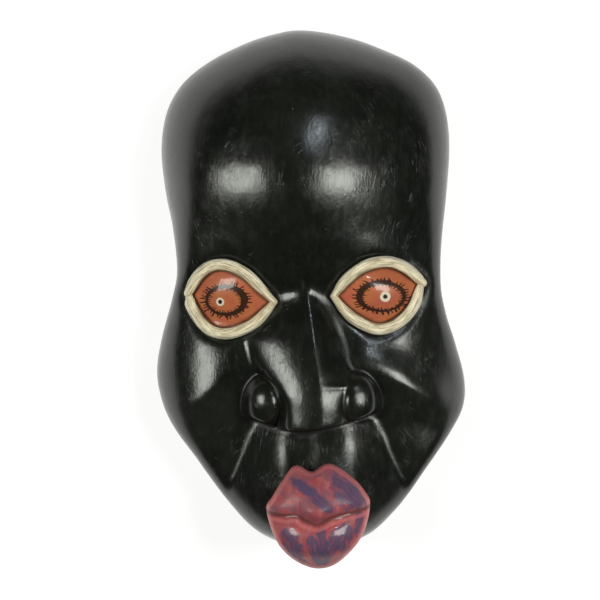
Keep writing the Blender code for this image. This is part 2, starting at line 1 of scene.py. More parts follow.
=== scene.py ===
"""A carved wooden face mask, painted glossy black, lying face up on a pale floor.

The frame is +X to the right of the face as seen, +Y to the crown and +Z out of the face, with
the sawn back on the floor. The camera looks straight down on it.

The forms are written as distances in millimetres, less than nothing inside a form and more
outside it, and turned into meshes. Places on the face are shares of the block that the mask is
carved from: across from -1 (left edge) to 1 (right edge), up from -1 (under the lips) to 1
(crown), and high from 0 (sawn back) to 1 (the front of the block).
"""

import itertools
import logging
import math
from collections.abc import Callable
from dataclasses import dataclass, field
from enum import Enum
from functools import cached_property

import bpy
import numpy as np
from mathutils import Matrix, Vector


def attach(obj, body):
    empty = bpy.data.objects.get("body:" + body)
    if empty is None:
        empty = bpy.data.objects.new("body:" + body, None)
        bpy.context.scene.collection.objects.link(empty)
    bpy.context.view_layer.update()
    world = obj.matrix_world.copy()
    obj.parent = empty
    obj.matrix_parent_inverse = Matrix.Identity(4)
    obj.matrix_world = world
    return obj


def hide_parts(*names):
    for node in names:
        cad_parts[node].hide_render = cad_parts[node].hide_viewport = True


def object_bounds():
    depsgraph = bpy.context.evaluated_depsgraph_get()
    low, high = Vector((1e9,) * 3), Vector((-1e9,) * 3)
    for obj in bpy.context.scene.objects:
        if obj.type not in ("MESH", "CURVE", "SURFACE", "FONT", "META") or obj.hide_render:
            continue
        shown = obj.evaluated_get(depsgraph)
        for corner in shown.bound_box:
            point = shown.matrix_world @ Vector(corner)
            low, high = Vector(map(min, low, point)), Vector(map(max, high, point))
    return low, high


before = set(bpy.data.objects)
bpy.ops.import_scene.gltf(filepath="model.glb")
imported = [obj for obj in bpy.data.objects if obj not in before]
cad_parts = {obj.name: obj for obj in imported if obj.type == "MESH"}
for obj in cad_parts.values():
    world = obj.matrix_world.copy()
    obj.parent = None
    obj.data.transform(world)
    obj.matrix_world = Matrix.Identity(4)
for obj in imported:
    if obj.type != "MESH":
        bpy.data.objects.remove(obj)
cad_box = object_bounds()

Array = np.ndarray
Form = Callable[[Array, Array, Array], Array]
Place = tuple[float, float]
Triple = tuple[float, float, float]
Colour = Triple
Socket = bpy.types.NodeSocket
Input = float | tuple | Socket

MM = 0.001
EVEN: Triple = (1.0, 1.0, 1.0)
FLAT: Triple = (1.0, 1.0, 0.0)
BODY = "root"
CAD_NODE = "mask"
FLOAT = "NodeSocketFloat"
VECTOR = "NodeSocketVector"

log = logging.getLogger("mask")


def smooth_min(first: Array, second: Array, radius: float | Array) -> Array:
    """Join two forms, with a hollow of about the radius between them."""
    share = np.clip(0.5 + 0.5 * (second - first) / radius, 0.0, 1.0)
    return second + (first - second) * share - radius * share * (1.0 - share)


def smooth_max(first: Array, second: Array, radius: float | Array) -> Array:
    """Keep what two forms share, with a rounded edge of about the radius."""
    return -smooth_min(-first, -second, radius)


def soft_step(value: Array, start: float, end: float) -> Array:
    """Rise softly from 0 at start to 1 at end."""
    share = np.clip((value - start) / (end - start), 0.0, 1.0)
    return share * share * (3.0 - 2.0 * share)


def soft_over(value: Array, softness: float) -> Array:
    """Return how far values are over nothing, softly where they pass it."""
    return 0.5 * (value + np.hypot(value, softness))


def scatter(value: Array, spread: float) -> Array:
    """Return a number from 0 to 1 for each value, as if at random."""
    wild = np.sin(value) * spread
    return wild - np.floor(wild)


def smooth_curve(points: Array, closed: bool = False, steps: int = 6) -> Array:
    """Return places along a smooth curve through points.

    Args:
        points: The points, one in each row.
        closed: Whether the curve runs back to its start.
        steps: How many places there are from one point to the next.

    Returns:
        The places, one in each row.
    """
    points = np.asarray(points, dtype=float)
    if closed:
        padded = np.vstack([points[-1:], points, points[:2]])
    else:
        padded = np.vstack([2.0 * points[0] - points[1], points, 2.0 * points[-1] - points[-2]])
    step = np.linspace(0.0, 1.0, steps, endpoint=False)[:, None]
    pieces = []
    for a, b, c, d in zip(padded, padded[1:], padded[2:], padded[3:]):
        square = (2.0 * a - 5.0 * b + 4.0 * c - d) * step**2
        cube = (3.0 * b - a - 3.0 * c + d) * step**3
        pieces.append(0.5 * (2.0 * b + (c - a) * step + square + cube))
    if not closed:
        pieces.append(points[-1:])
    return np.vstack(pieces)


@dataclass(frozen=True)
class Block:
    """The block of wood that the mask is carved from, in millimetres."""

    width: float = 198.0
    height: float = 340.0
    depth: float = 104.0

    def across(self, x: Array) -> Array:
        """Return how far across the face places are, from -1 to 1."""
        return x / (self.width / 2.0)

    def up(self, y: Array) -> Array:
        """Return how far up the face places are, from -1 to 1."""
        return y / (self.height / 2.0)

    def measured(self, shares: Array) -> Array:
        """Return shares of the face, as rows of across and up, in millimetres."""
        return np.asarray(shares, dtype=float) * (self.width / 2.0, self.height / 2.0)


BLOCK = Block()


@dataclass(frozen=True)
class Profile:
    """A smooth run of values, given as pairs of place and value."""

    points: tuple[Place, ...]

    @cached_property
    def curve(self) -> Array:
        """Return the run as closely spaced pairs."""
        return smooth_curve(np.array(self.points), steps=48)

    def read(self, place: Array) -> Array:
        """Return the values at places."""
        return np.interp(place, self.curve[:, 0], self.curve[:, 1])


@dataclass(frozen=True)
class Line:
    """A smooth line on the face, through shares of it."""

    points: tuple[Place, ...]
    closed: bool = False

    @cached_property
    def curve(self) -> Array:
        """Return the line's places in millimetres."""
        curve = BLOCK.measured(smooth_curve(np.array(self.points), self.closed))
        return np.vstack([curve, curve[:1]]) if self.closed else curve

    def is_near(self, x: Array, y: Array, margin: float = 12.0) -> Array:
        """Tell which places are within a margin of the box round the line."""
        low = self.curve.min(axis=0) - margin
        high = self.curve.max(axis=0) + margin
        return (x > low[0]) & (x < high[0]) & (y > low[1]) & (y < high[1])

    def distance(self, x: Array, y: Array) -> tuple[Array, Array]:
        """Measure places against the line.

        Args:
            x: The places' positions to the right, in millimetres.
            y: Their positions towards the crown, in millimetres.

        Returns:
            How far each place is from the line, and how far along it, from 0 to 1, it is.
        """
        nearest = np.full(x.shape, np.inf)
        along = np.zeros(x.shape)
        for index, ((ax, ay), (bx, by)) in enumerate(zip(self.curve[:-1], self.curve[1:])):
            run_x = bx - ax
            run_y = by - ay
            share = ((x - ax) * run_x + (y - ay) * run_y) / (run_x**2 + run_y**2)
            share = np.clip(share, 0.0, 1.0)
            distance = np.hypot(x - ax - share * run_x, y - ay - share * run_y)
            closer = distance < nearest
            nearest[closer] = distance[closer]
            along[closer] = (index + share[closer]) / (len(self.curve) - 1)
        return nearest, along

    def outside(self, x: Array, y: Array) -> Array:
        """Return how far places are outside the closed line, less than nothing inside it."""
        nearest, _ = self.distance(x, y)
        inside = np.zeros(x.shape, dtype=bool)
        for (ax, ay), (bx, by) in zip(self.curve[:-1], self.curve[1:]):
            if ay == by:
                continue
            spans = (ay > y) != (by > y)
            inside ^= spans & (x < ax + (y - ay) * (bx - ax) / (by - ay))
        return np.where(inside, -nearest, nearest)

    def ridge(self, x: Array, y: Array, width: float) -> Array:
        """Return a soft ridge of a width along the line, 1 at its crest."""
        ridge = np.zeros(x.shape)
        near = self.is_near(x, y, 1.5 * width)
        distance, _ = self.distance(x[near], y[near])
        ridge[near] = np.exp(-((2.0 * distance / width) ** 2))
        return ridge


@dataclass(frozen=True)
class Mound:
    """A soft round swelling of the face, or a hollow where its rise is less than nothing."""

    middle: Place
    rise: float
    spread: Place

    def height(self, across: Array, up: Array) -> Array:
        """Return the swelling's height in millimetres."""
        aside = (across - self.middle[0]) / self.spread[0]
        above = (up - self.middle[1]) / self.spread[1]
        return self.rise * np.exp(-(aside**2) - above**2)


@dataclass(frozen=True)
class Outline:
    """The mask's sides, which lean in towards the front."""

    loop: Line = Line((
        (-0.050, 1.013), (0.227, 0.988), (0.466, 0.940), (0.682, 0.878), (0.828, 0.792),
        (0.892, 0.680), (0.905, 0.545), (0.881, 0.365), (0.848, 0.190), (0.843, 0.042),
        (0.880, -0.071), (0.946, -0.187), (1.002, -0.315), (0.994, -0.415), (0.903, -0.520),
        (0.745, -0.655), (0.579, -0.789), (0.391, -0.896), (0.192, -0.943), (-0.007, -0.952),
        (-0.190, -0.935), (-0.378, -0.878), (-0.556, -0.765), (-0.748, -0.614),
        (-0.915, -0.478), (-0.991, -0.360), (-1.004, -0.259), (-0.966, -0.142),
        (-0.902, -0.007), (-0.872, 0.098), (-0.900, 0.249), (-0.951, 0.399),
        (-0.979, 0.557), (-0.948, 0.696), (-0.845, 0.808), (-0.654, 0.897),
        (-0.437, 0.960), (-0.235, 0.999),
    ), closed=True)
    draft: Profile = Profile((
        (-1.15, 0.14), (-0.62, 0.14), (-0.45, 0.18), (-0.30, 0.22), (0.00, 0.12),
        (0.20, 0.16), (0.50, 0.36), (1.15, 0.42),
    ))

    @cached_property
    def radii(self) -> tuple[Array, Array]:
        """Return the outline as sorted angles round the middle, and its radius at each."""
        curve = self.loop.curve[:-1]
        angle = np.arctan2(curve[:, 1], curve[:, 0])
        order = np.argsort(angle)
        return angle[order], np.hypot(curve[:, 0], curve[:, 1])[order]

    def distance(self, x: Array, y: Array, z: Array) -> Array:
        """Return how far places are outside the mask's sides."""
        angle, radius = self.radii
        reach = np.interp(np.arctan2(y, x), angle, radius, period=2.0 * math.pi)
        rise = np.clip(z / BLOCK.depth, 0.0, None)
        draft = self.draft.read(BLOCK.up(y)) * rise**2
        return np.hypot(x, y) * (1.0 + draft) - reach


@dataclass(frozen=True)
class Muzzle:
    """The muzzle: a rounded prow below the nose, which carries the lips."""

    middle: float = 0.035
    top: Profile = Profile((
        (-1.15, 0.40), (-1.00, 0.50), (-0.88, 0.615), (-0.78, 0.665), (-0.70, 0.660),
        (-0.66, 0.645), (-0.62, 0.628), (-0.58, 0.614), (-0.54, 0.602), (-0.50, 0.590),
        (-0.46, 0.578), (-0.40, 0.54), (-0.25, 0.40), (0.10, 0.00), (1.15, 0.0),
    ))
    half_width: Profile = Profile((
        (-1.15, 0.14), (-0.90, 0.20), (-0.78, 0.215), (-0.65, 0.215), (-0.55, 0.205),
        (-0.46, 0.19), (-0.40, 0.18), (1.15, 0.18),
    ))
    flank: Profile = Profile((
        (-1.15, 0.65), (-0.80, 0.60), (-0.68, 0.55), (-0.58, 0.47), (-0.50, 0.40),
        (-0.42, 0.34), (-0.35, 0.30), (1.15, 0.30),
    ))
    radius: float = 150.0
    edge_round: float = 5.0
    blend: float = 2.0

    def height(self, across: Array, up: Array) -> Array:
        """Return the height of the muzzle above the sawn back, in millimetres."""
        half_block = BLOCK.width / 2.0
        aside = np.abs(across - self.middle) * half_block
        over = soft_over(aside - self.half_width.read(up) * half_block, self.edge_round)
        crown = self.top.read(up) * BLOCK.depth - aside**2 / (2.0 * self.radius)
        return crown - self.flank.read(up) * over


@dataclass(frozen=True)
class Front:
    """The front of the face, without nose, eyes and lips."""

    spine: Profile = Profile((
        (-1.15, 0.43), (-0.85, 0.525), (-0.70, 0.552), (-0.58, 0.563), (-0.50, 0.565),
        (-0.42, 0.568), (-0.30, 0.556), (-0.18, 0.548), (-0.10, 0.547), (-0.03, 0.552),
        (0.02, 0.568), (0.06, 0.597), (0.12, 0.645), (0.22, 0.715), (0.33, 0.774),
        (0.44, 0.800), (0.55, 0.784), (0.67, 0.738), (0.80, 0.667), (0.95, 0.548),
        (1.15, 0.330),
    ))
    fall: Profile = Profile((
        (-1.15, 0.20), (-0.65, 0.22), (-0.40, 0.315), (-0.20, 0.32), (0.00, 0.33), (0.08, 0.36),
        (0.16, 0.42), (0.27, 0.47), (0.43, 0.47), (0.60, 0.48), (0.80, 0.48), (1.15, 0.42),
    ))
    power: Profile = Profile((
        (-1.15, 2.0), (-0.85, 2.6), (-0.60, 3.7), (-0.45, 3.6), (-0.30, 3.2), (-0.02, 3.2),
        (0.06, 2.7), (0.12, 2.2), (0.20, 1.95), (0.30, 1.8), (0.55, 1.75), (0.80, 1.9),
        (1.15, 2.0),
    ))
    crest: Profile = Profile((
        (-1.15, 0.0), (-0.60, -0.01), (-0.30, -0.06), (0.00, -0.07), (0.15, -0.12),
        (0.45, -0.14), (1.15, -0.12),
    ))
    muzzle: Muzzle = Muzzle()
    cheekbones: tuple[Mound, ...] = (
        Mound((-0.72, -0.27), 4.0, (0.30, 0.18)),
        Mound((0.66, -0.26), 2.0, (0.30, 0.16)),
    )
    cheek_ridge: Line = Line((
        (0.33, -0.252), (0.42, -0.268), (0.52, -0.295), (0.64, -0.330), (0.78, -0.370),
    ))
    cheek_ridge_rise: float = 3.4
    cheek_ridge_width: float = 24.0
    cheek_line: Profile = Profile((
        (-1.10, -0.46), (-0.78, -0.405), (-0.66, -0.362), (-0.60, -0.335), (-0.54, -0.295),
        (-0.45, -0.262), (-0.35, -0.25), (-0.20, -0.25), (0.10, -0.26), (0.38, -0.285),
        (0.56, -0.325), (0.76, -0.370), (1.10, -0.44),
    ))
    cheek_slope: float = 0.40
    cheek_reach: float = 50.0
    cheek_softness: float = 3.0
    folds: tuple[Line, ...] = (
        Line(((-0.165, -0.49), (-0.200, -0.530), (-0.260, -0.585))),
        Line(((0.190, -0.490), (0.240, -0.515), (0.300, -0.540))),
    )
    fold_rise: float = 0.4
    fold_width: float = 14.0
    frown: Line = Line(((-0.045, 0.055), (-0.035, 0.00)))
    frown_width: float = 3.6
    frown_depth: float = 2.2

    def plain(self, across: Array, up: Array) -> Array:
        """Return the height of the face without its swellings and folds."""
        aside = np.abs(across - self.crest.read(up)) ** self.power.read(up)
        return (self.spine.read(up) - self.fall.read(up) * aside) * BLOCK.depth

    def cheek_turn(self, across: Array, up: Array) -> Array:
        """Return how much the cheeks turn back below their line, in millimetres."""
        below = (self.cheek_line.read(across) - up) * BLOCK.height / 2.0
        below = soft_over(below, self.cheek_softness)
        return self.cheek_slope * self.cheek_reach * (1.0 - np.exp(-below / self.cheek_reach))

    def base(self, across: Array, up: Array, less_muzzle: float = 0.0) -> Array:
        """Return the height of the face with its cheeks and muzzle, or with a lower muzzle."""
        cheeks = self.plain(across, up) - self.cheek_turn(across, up)
        muzzle = self.muzzle.height(across, up) - less_muzzle
        return smooth_max(cheeks, muzzle, self.muzzle.blend)

    def height(self, x: Array, y: Array) -> Array:
        """Return the height of the face above the sawn back, in millimetres."""
        across = BLOCK.across(x)
        up = BLOCK.up(y)
        height = self.base(across, up)
        for mound in self.cheekbones:
            height += mound.height(across, up)
        height += self.cheek_ridge_rise * self.cheek_ridge.ridge(x, y, self.cheek_ridge_width)
        for fold in self.folds:
            height += self.fold_rise * fold.ridge(x, y, self.fold_width)
        return height - self.frown_depth * self.frown.ridge(x, y, self.frown_width)


@dataclass(frozen=True)
class Wing:
    """A wing of the nose: a low crown inside an oval, with steep walls round it."""

    middle: Place
    half: Place
    crown: Place
    top: float
    radius: float = 34.0
    wall: float = 2.4
    edge_round: float = 3.0

    def height(self, x: Array, y: Array) -> Array:
        """Return the wing's height above the sawn back, in millimetres."""
        across = BLOCK.across(x)
        up = BLOCK.up(y)
        crown = BLOCK.measured(self.crown)
        aside = (across - self.middle[0]) / self.half[0]
        above = (up - self.middle[1]) / self.half[1]
        beyond = (np.hypot(aside, above) - 1.0) * self.half[0] * BLOCK.width / 2.0
        over = soft_over(beyond, self.edge_round)
        drop = ((x - crown[0]) ** 2 + (y - crown[1]) ** 2) / (2.0 * self.radius)
        return self.top * BLOCK.depth - drop - self.wall * over


@dataclass(frozen=True)
class Nose:
    """The nose: a ridge, round left and steep right, and two wings, cut flat below."""

    middle: Profile = Profile((
        (-0.60, 0.045), (-0.39, 0.045), (-0.31, 0.038), (-0.225, 0.024), (-0.14, 0.004),
        (-0.05, -0.020), (0.03, -0.036), (0.11, -0.050), (0.30, -0.050),
    ))
    height: Profile = Profile((
        (-0.60, 0.715), (-0.49, 0.720), (-0.385, 0.731), (-0.32, 0.721), (-0.25, 0.702),
        (-0.165, 0.673), (-0.078, 0.634), (-0.02, 0.607), (0.04, 0.593), (0.13, 0.595),
        (0.25, 0.56), (0.42, 0.30), (0.60, -0.30),
    ))
    left_radius: Profile = Profile((
        (-0.60, 50.0), (-0.378, 55.0), (-0.31, 57.0), (-0.25, 63.0), (-0.167, 70.0),
        (-0.12, 62.0), (-0.087, 50.0), (-0.045, 32.0), (0.00, 25.0), (0.06, 22.0), (0.60, 20.0),
    ))
    right_slope: Profile = Profile((
        (-0.60, 0.37), (-0.36, 0.37), (-0.31, 0.55), (-0.25, 0.78), (-0.15, 0.84),
        (0.05, 0.75), (0.30, 0.72),
    ))
    crest_round: float = 3.0
    left_edge: Profile = Profile((
        (-0.60, 20.0), (-0.42, 20.5), (-0.36, 24.0), (-0.30, 30.0), (-0.22, 37.0), (-0.12, 40.0),
        (-0.05, 31.0), (0.02, 21.0), (0.10, 18.0), (0.60, 18.0),
    ))
    right_edge: Profile = Profile((
        (-0.60, 15.0), (-0.40, 16.0), (-0.34, 21.0), (-0.25, 30.0), (0.60, 30.0),
    ))
    edge_slope: Profile = Profile((
        (-0.60, 2.0), (-0.36, 2.0), (-0.28, 1.2), (-0.18, 0.6), (0.60, 0.6),
    ))
    wings: tuple[Wing, ...] = (
        Wing((-0.303, -0.395), (0.095, 0.080), (-0.212, -0.378), 0.675),
        Wing((0.305, -0.385), (0.100, 0.088), (0.155, -0.382), 0.695, 42.0),
    )
    foot: Profile = Profile((
        (-0.60, -0.405), (-0.391, -0.449), (-0.177, -0.489), (0.003, -0.492),
        (0.239, -0.462), (0.388, -0.431), (0.60, -0.37),
    ))
    wing_blend: float = 2.6
    steepness: float = 0.80
    foot_blend: float = 2.4

    def above_foot(self, x: Array, y: Array) -> Array:
        """Return how far places are above the line where the nose ends."""
        return y - self.foot.read(BLOCK.across(x)) * BLOCK.height / 2.0

    def ridge(self, x: Array, y: Array) -> Array:
        """Return the ridge's height above the sawn back, in millimetres."""
        up = BLOCK.up(y)
        aside = x - self.middle.read(up) * BLOCK.width / 2.0
        on_left = aside < 0.0
        left = aside**2 / (2.0 * self.left_radius.read(up))
        right = self.right_slope.read(up) * (np.hypot(aside, self.crest_round) - self.crest_round)
        edge = np.where(on_left, self.left_edge.read(up), self.right_edge.read(up))
        beyond = self.edge_slope.read(up) * soft_over(np.abs(aside) - edge, self.crest_round)
        return self.height.read(up) * BLOCK.depth - (np.where(on_left, left, right) + beyond)

    def distance(self, x: Array, y: Array, z: Array) -> Array:
        """Return how far places are outside the nose."""
        top = self.ridge(x, y)
        for wing in self.wings:
            top = smooth_max(top, wing.height(x, y), self.wing_blend)
        return smooth_max(self.steepness * (z - top), -self.above_foot(x, y), self.foot_blend)


@dataclass(frozen=True)
class Hollow:
    """The hollow behind the face, which leaves a wall all round, with a gouge's cuts on it."""

    side_wall: float = 15.0
    muzzle_extra: float = 5.0
    front_wall: Profile = Profile((
        (-1.15, 11.0), (-0.45, 12.0), (-0.15, 14.0), (0.30, 15.0), (1.15, 16.0),
    ))
    blend: float = 18.0
    below: float = 12.0
    gouge_width: float = 9.0
    gouge_length: float = 22.0
    gouge_depth: float = 0.9
    gouge_stray: float = 0.35
    row_chance: Place = (12.9898, 43758.5453)
    cut_chance: Triple = (78.233, 37.719, 24634.6345)

    def gouges(self, x: Array, y: Array) -> Array:
        """Return how high the ridges between the gouge's cuts stand, in millimetres."""
        row = np.floor(x / self.gouge_width)
        best = np.full(x.shape, np.inf)
        row_turn, row_spread = self.row_chance
        cut_turn, column_turn, cut_spread = self.cut_chance
        for beside, before in itertools.product((-1, 0, 1), repeat=2):
            column = row + beside
            start = scatter(row_turn * column, row_spread)
            cell = np.floor(y / self.gouge_length + start) + before
            stray = scatter(cut_turn * cell + column_turn * column, cut_spread) - 0.5
            middle_x = (column + 0.5 + self.gouge_stray * stray) * self.gouge_width
            middle_y = (cell + 0.5 - start) * self.gouge_length
            aside = (x - middle_x) / self.gouge_width
            along = (y - middle_y) / self.gouge_length
            best = np.minimum(best, aside**2 + along**2)
        return self.gouge_depth * np.sqrt(np.minimum(best, 1.0))

    def distance(self, x: Array, y: Array, z: Array, outline: Outline, front: Front) -> Array:
        """Return how far places are outside the hollow.

        Args:
            x: The places' positions to the right, in millimetres.
            y: Their positions towards the crown.
            z: Their heights above the sawn back.
            outline: The mask's sides.
            front: The mask's front.

        Returns:
            The distances in millimetres.
        """
        up = BLOCK.up(y)
        side = outline.distance(x, y, z) + self.side_wall
        top = z - front.base(BLOCK.across(x), up, self.muzzle_extra) + self.front_wall.read(up)
        inner = smooth_max(side, top, self.blend) + self.gouges(x, y)
        return np.maximum(inner, -self.below - z)


@dataclass(frozen=True)
class Carver:
    """Turns forms into meshes, cell by cell."""

    cell: float
    coarse: int = 4
    band: float = 1.25
    rounds: int = 3
    probe: float = 0.05
    least_slope: float = 0.5
    margin: float = 3.0

    def sample(self, form: Form, low: Array, high: Array) -> Array:
        """Return a form's distances on a grid, exact only where its surface is near."""
        counts = np.ceil((high - low) / self.cell).astype(int)
        wide = self.coarse * self.cell
        coarse_counts = np.ceil(counts / self.coarse).astype(int)
        middles = [low[axis] + wide * (np.arange(coarse_counts[axis]) + 0.5) for axis in range(3)]
        middles = np.meshgrid(*middles, indexing="ij")
        values = form(*(middle.ravel() for middle in middles)).reshape(coarse_counts)
        for axis in range(3):
            values = np.repeat(values, self.coarse, axis=axis)
        values = values[: counts[0], : counts[1], : counts[2]].copy()
        near = np.argwhere(np.abs(values) < self.band * wide)
        values[tuple(near.T)] = form(*(low + near * self.cell).T)
        return values

    def net(self, values: Array, low: Array) -> tuple[Array, Array]:
        """Lay a net of four-sided faces over the surface where the distances are nothing.

        Args:
            values: The distances on the grid.
            low: The grid's lowest corner, in millimetres.

        Returns:
            The net's vertices in millimetres, and its faces.
        """
        inside = values < 0.0
        size = np.array(values.shape)
        corners = np.array(list(itertools.product((0, 1), repeat=3)))
        count = np.zeros(size - 1, dtype=int)
        for corner in corners:
            count += inside[tuple(slice(s, s + n - 1) for s, n in zip(corner, size))]
        crossed = np.argwhere((count > 0) & (count < 8))
        number = np.full(size - 1, -1)
        number[tuple(crossed.T)] = np.arange(len(crossed))
        total = np.zeros((len(crossed), 3))
        weight = np.zeros(len(crossed))
        for start, end in itertools.combinations(corners, 2):
            if np.abs(end - start).sum() != 1:
                continue
            first = values[tuple((crossed + start).T)]
            second = values[tuple((crossed + end).T)]
            cuts = (first < 0.0) != (second < 0.0)
            share = first[cuts] / (first[cuts] - second[cuts])
            total[cuts] += start + share[:, None] * (end - start)
            weight[cuts] += 1.0
        faces = []
        for axis in range(3):
            one, two = np.eye(3, dtype=int)[[(axis + 1) % 3, (axis + 2) % 3]]
            first = np.delete(inside, -1, axis)
            points = np.argwhere(first != np.delete(inside, 0, axis))
            shifts = (one + two, two, 0 * one, one)
            rings = np.stack([number[tuple((points - shift).T)] for shift in shifts], axis=1)
            inward = ~first[tuple(points.T)]
            rings[inward] = rings[inward, ::-1]
            faces.append(rings)
        return low + self.cell * (crossed + total / weight[:, None]), np.vstack(faces)

    def settle(self, form: Form, vertices: Array) -> Array:
        """Return vertices moved straight onto the form's surface."""
        for _ in range(self.rounds):
            distance = form(*vertices.T)
            slope = np.stack(
                [form(*(vertices + step).T) - distance for step in self.probe * np.eye(3)], axis=1
            ) / self.probe
            steep = np.maximum(np.sum(slope**2, axis=1), self.least_slope**2)
            step = (distance / steep)[:, None] * slope
            vertices = vertices - np.clip(step, -self.cell / 2.0, self.cell / 2.0)
        return vertices

    def carve(self, form: Form, low: Array, high: Array) -> tuple[Array, Array]:
        """Return the vertices and faces of a form between two corners, in millimetres."""
        margin = self.margin * self.cell
        low = np.asarray(low, dtype=float) - margin
        high = np.asarray(high, dtype=float) + margin
        vertices, faces = self.net(self.sample(form, low, high), low)
        return self.settle(form, vertices), faces


@dataclass
class Placement:
    """Where the carved forms stand in the row's frame."""

    scale: Array = field(default_factory=lambda: np.full(3, MM))
    shift: Array = field(default_factory=lambda: np.zeros(3))

    @classmethod
    def within(cls, vertices: Array, box: tuple[Vector, Vector]) -> "Placement":
        """Fit forms into a box, on the floor and in the middle of it.

        Args:
            vertices: The outermost forms' vertices, in millimetres.
            box: The box's lowest and highest corners, in metres.

        Returns:
            The placement, which shrinks the forms only as far as they stand out of the box.
        """
        low, high = vertices.min(axis=0), vertices.max(axis=0)
        floor, top = np.array(box[0]), np.array(box[1])
        scale = MM * np.minimum((top - floor) / (high - low) / MM, 1.0)
        shift = 0.5 * (floor + top) - 0.5 * scale * (low + high)
        shift[2] = floor[2] - scale[2] * low[2]
        return cls(scale, shift)

    def put(self, vertices: Array) -> Array:
        """Return places in millimetres as places in the row's frame, in metres."""
        return vertices * self.scale + self.shift

    def take(self, vertices: Array) -> Array:
        """Return places in the row's frame as places in millimetres."""
        return (vertices - self.shift) / self.scale

    def on_face(self, across: float, up: float) -> Triple:
        """Return a place on the face in the row's frame, at no height."""
        x, y = BLOCK.measured((across, up))
        return tuple(self.put(np.array([x, y, 0.0])).tolist())


@dataclass
class Piece:
    """A mesh of the mask, with the measures that its finish reads."""

    name: str
    vertices: Array
    faces: Array
    faces_kept: int = 0
    item: bpy.types.Object | None = None

    def build(self, placement: Placement) -> Array:
        """Add the piece to the scene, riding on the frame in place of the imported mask.

        Args:
            placement: Where the piece stands.

        Returns:
            The finished mesh's vertices, in millimetres.
        """
        mesh = bpy.data.meshes.new(self.name)
        mesh.from_pydata(placement.put(self.vertices).tolist(), [], self.faces.tolist())
        self.item = bpy.data.objects.new(self.name, mesh)
        bpy.context.scene.collection.objects.link(self.item)
        if 0 < self.faces_kept < 2 * len(self.faces):
            fewer = self.item.modifiers.new("Fewer faces", "DECIMATE")
            fewer.ratio = self.faces_kept / (2.0 * len(self.faces))
            shown = self.item.evaluated_get(bpy.context.evaluated_depsgraph_get())
            self.item.data = bpy.data.meshes.new_from_object(shown)
            self.item.modifiers.clear()
        self.item.data.shade_smooth()
        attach(self.item, BODY)
        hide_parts(CAD_NODE)
        kept = np.zeros(3 * len(self.item.data.vertices), np.float32)
        self.item.data.vertices.foreach_get("co", kept)
        return placement.take(kept.reshape(-1, 3).astype(float))

    def measure(self, name: str, values: Array) -> None:
        """Store a value, or three, at each vertex for the finish to read."""
        kind = "FLOAT_VECTOR" if values.ndim == 2 else "FLOAT"
        attribute = self.item.data.attributes.new(name, kind, "POINT")
        key = "vector" if values.ndim == 2 else "value"
        attribute.data.foreach_set(key, values.astype(np.float32).ravel())

    def recess(self, rounds: int = 8) -> Array:
        """Return how deep the vertices lie in valleys, in millimetres.

        Args:
            rounds: How often a copy of the vertices is smoothed along the edges.

        Returns:
            How far each smoothed vertex stands in front of its own place.
        """
        mesh = self.item.data
        count = len(mesh.vertices)
        start = np.zeros(3 * count, np.float32)
        mesh.vertices.foreach_get("co", start)
        start = start.reshape(-1, 3).astype(float)
        normals = np.zeros(3 * count, np.float32)
        mesh.vertex_normals.foreach_get("vector", normals)
        edges = np.zeros(2 * len(mesh.edges), np.int32)
        mesh.edges.foreach_get("vertices", edges)
        first, second = edges.reshape(-1, 2).T
        ends = np.concatenate([first, second])
        others = np.concatenate([second, first])
        shares = np.bincount(ends, minlength=count)
        smooth = start.copy()
        for _ in range(rounds):
            near = [np.bincount(ends, smooth[others, axis], count) / shares for axis in range(3)]
            smooth = np.stack(near, axis=1)
        return ((smooth - start) * normals.reshape(-1, 3)).sum(axis=1) / MM

    def dress(self, material: bpy.types.Material) -> None:
        """Give the piece its finish and report it."""
        self.item.data.materials.append(material)
        log.info("%s: %d faces, %s", self.name, len(self.item.data.polygons), material.name)


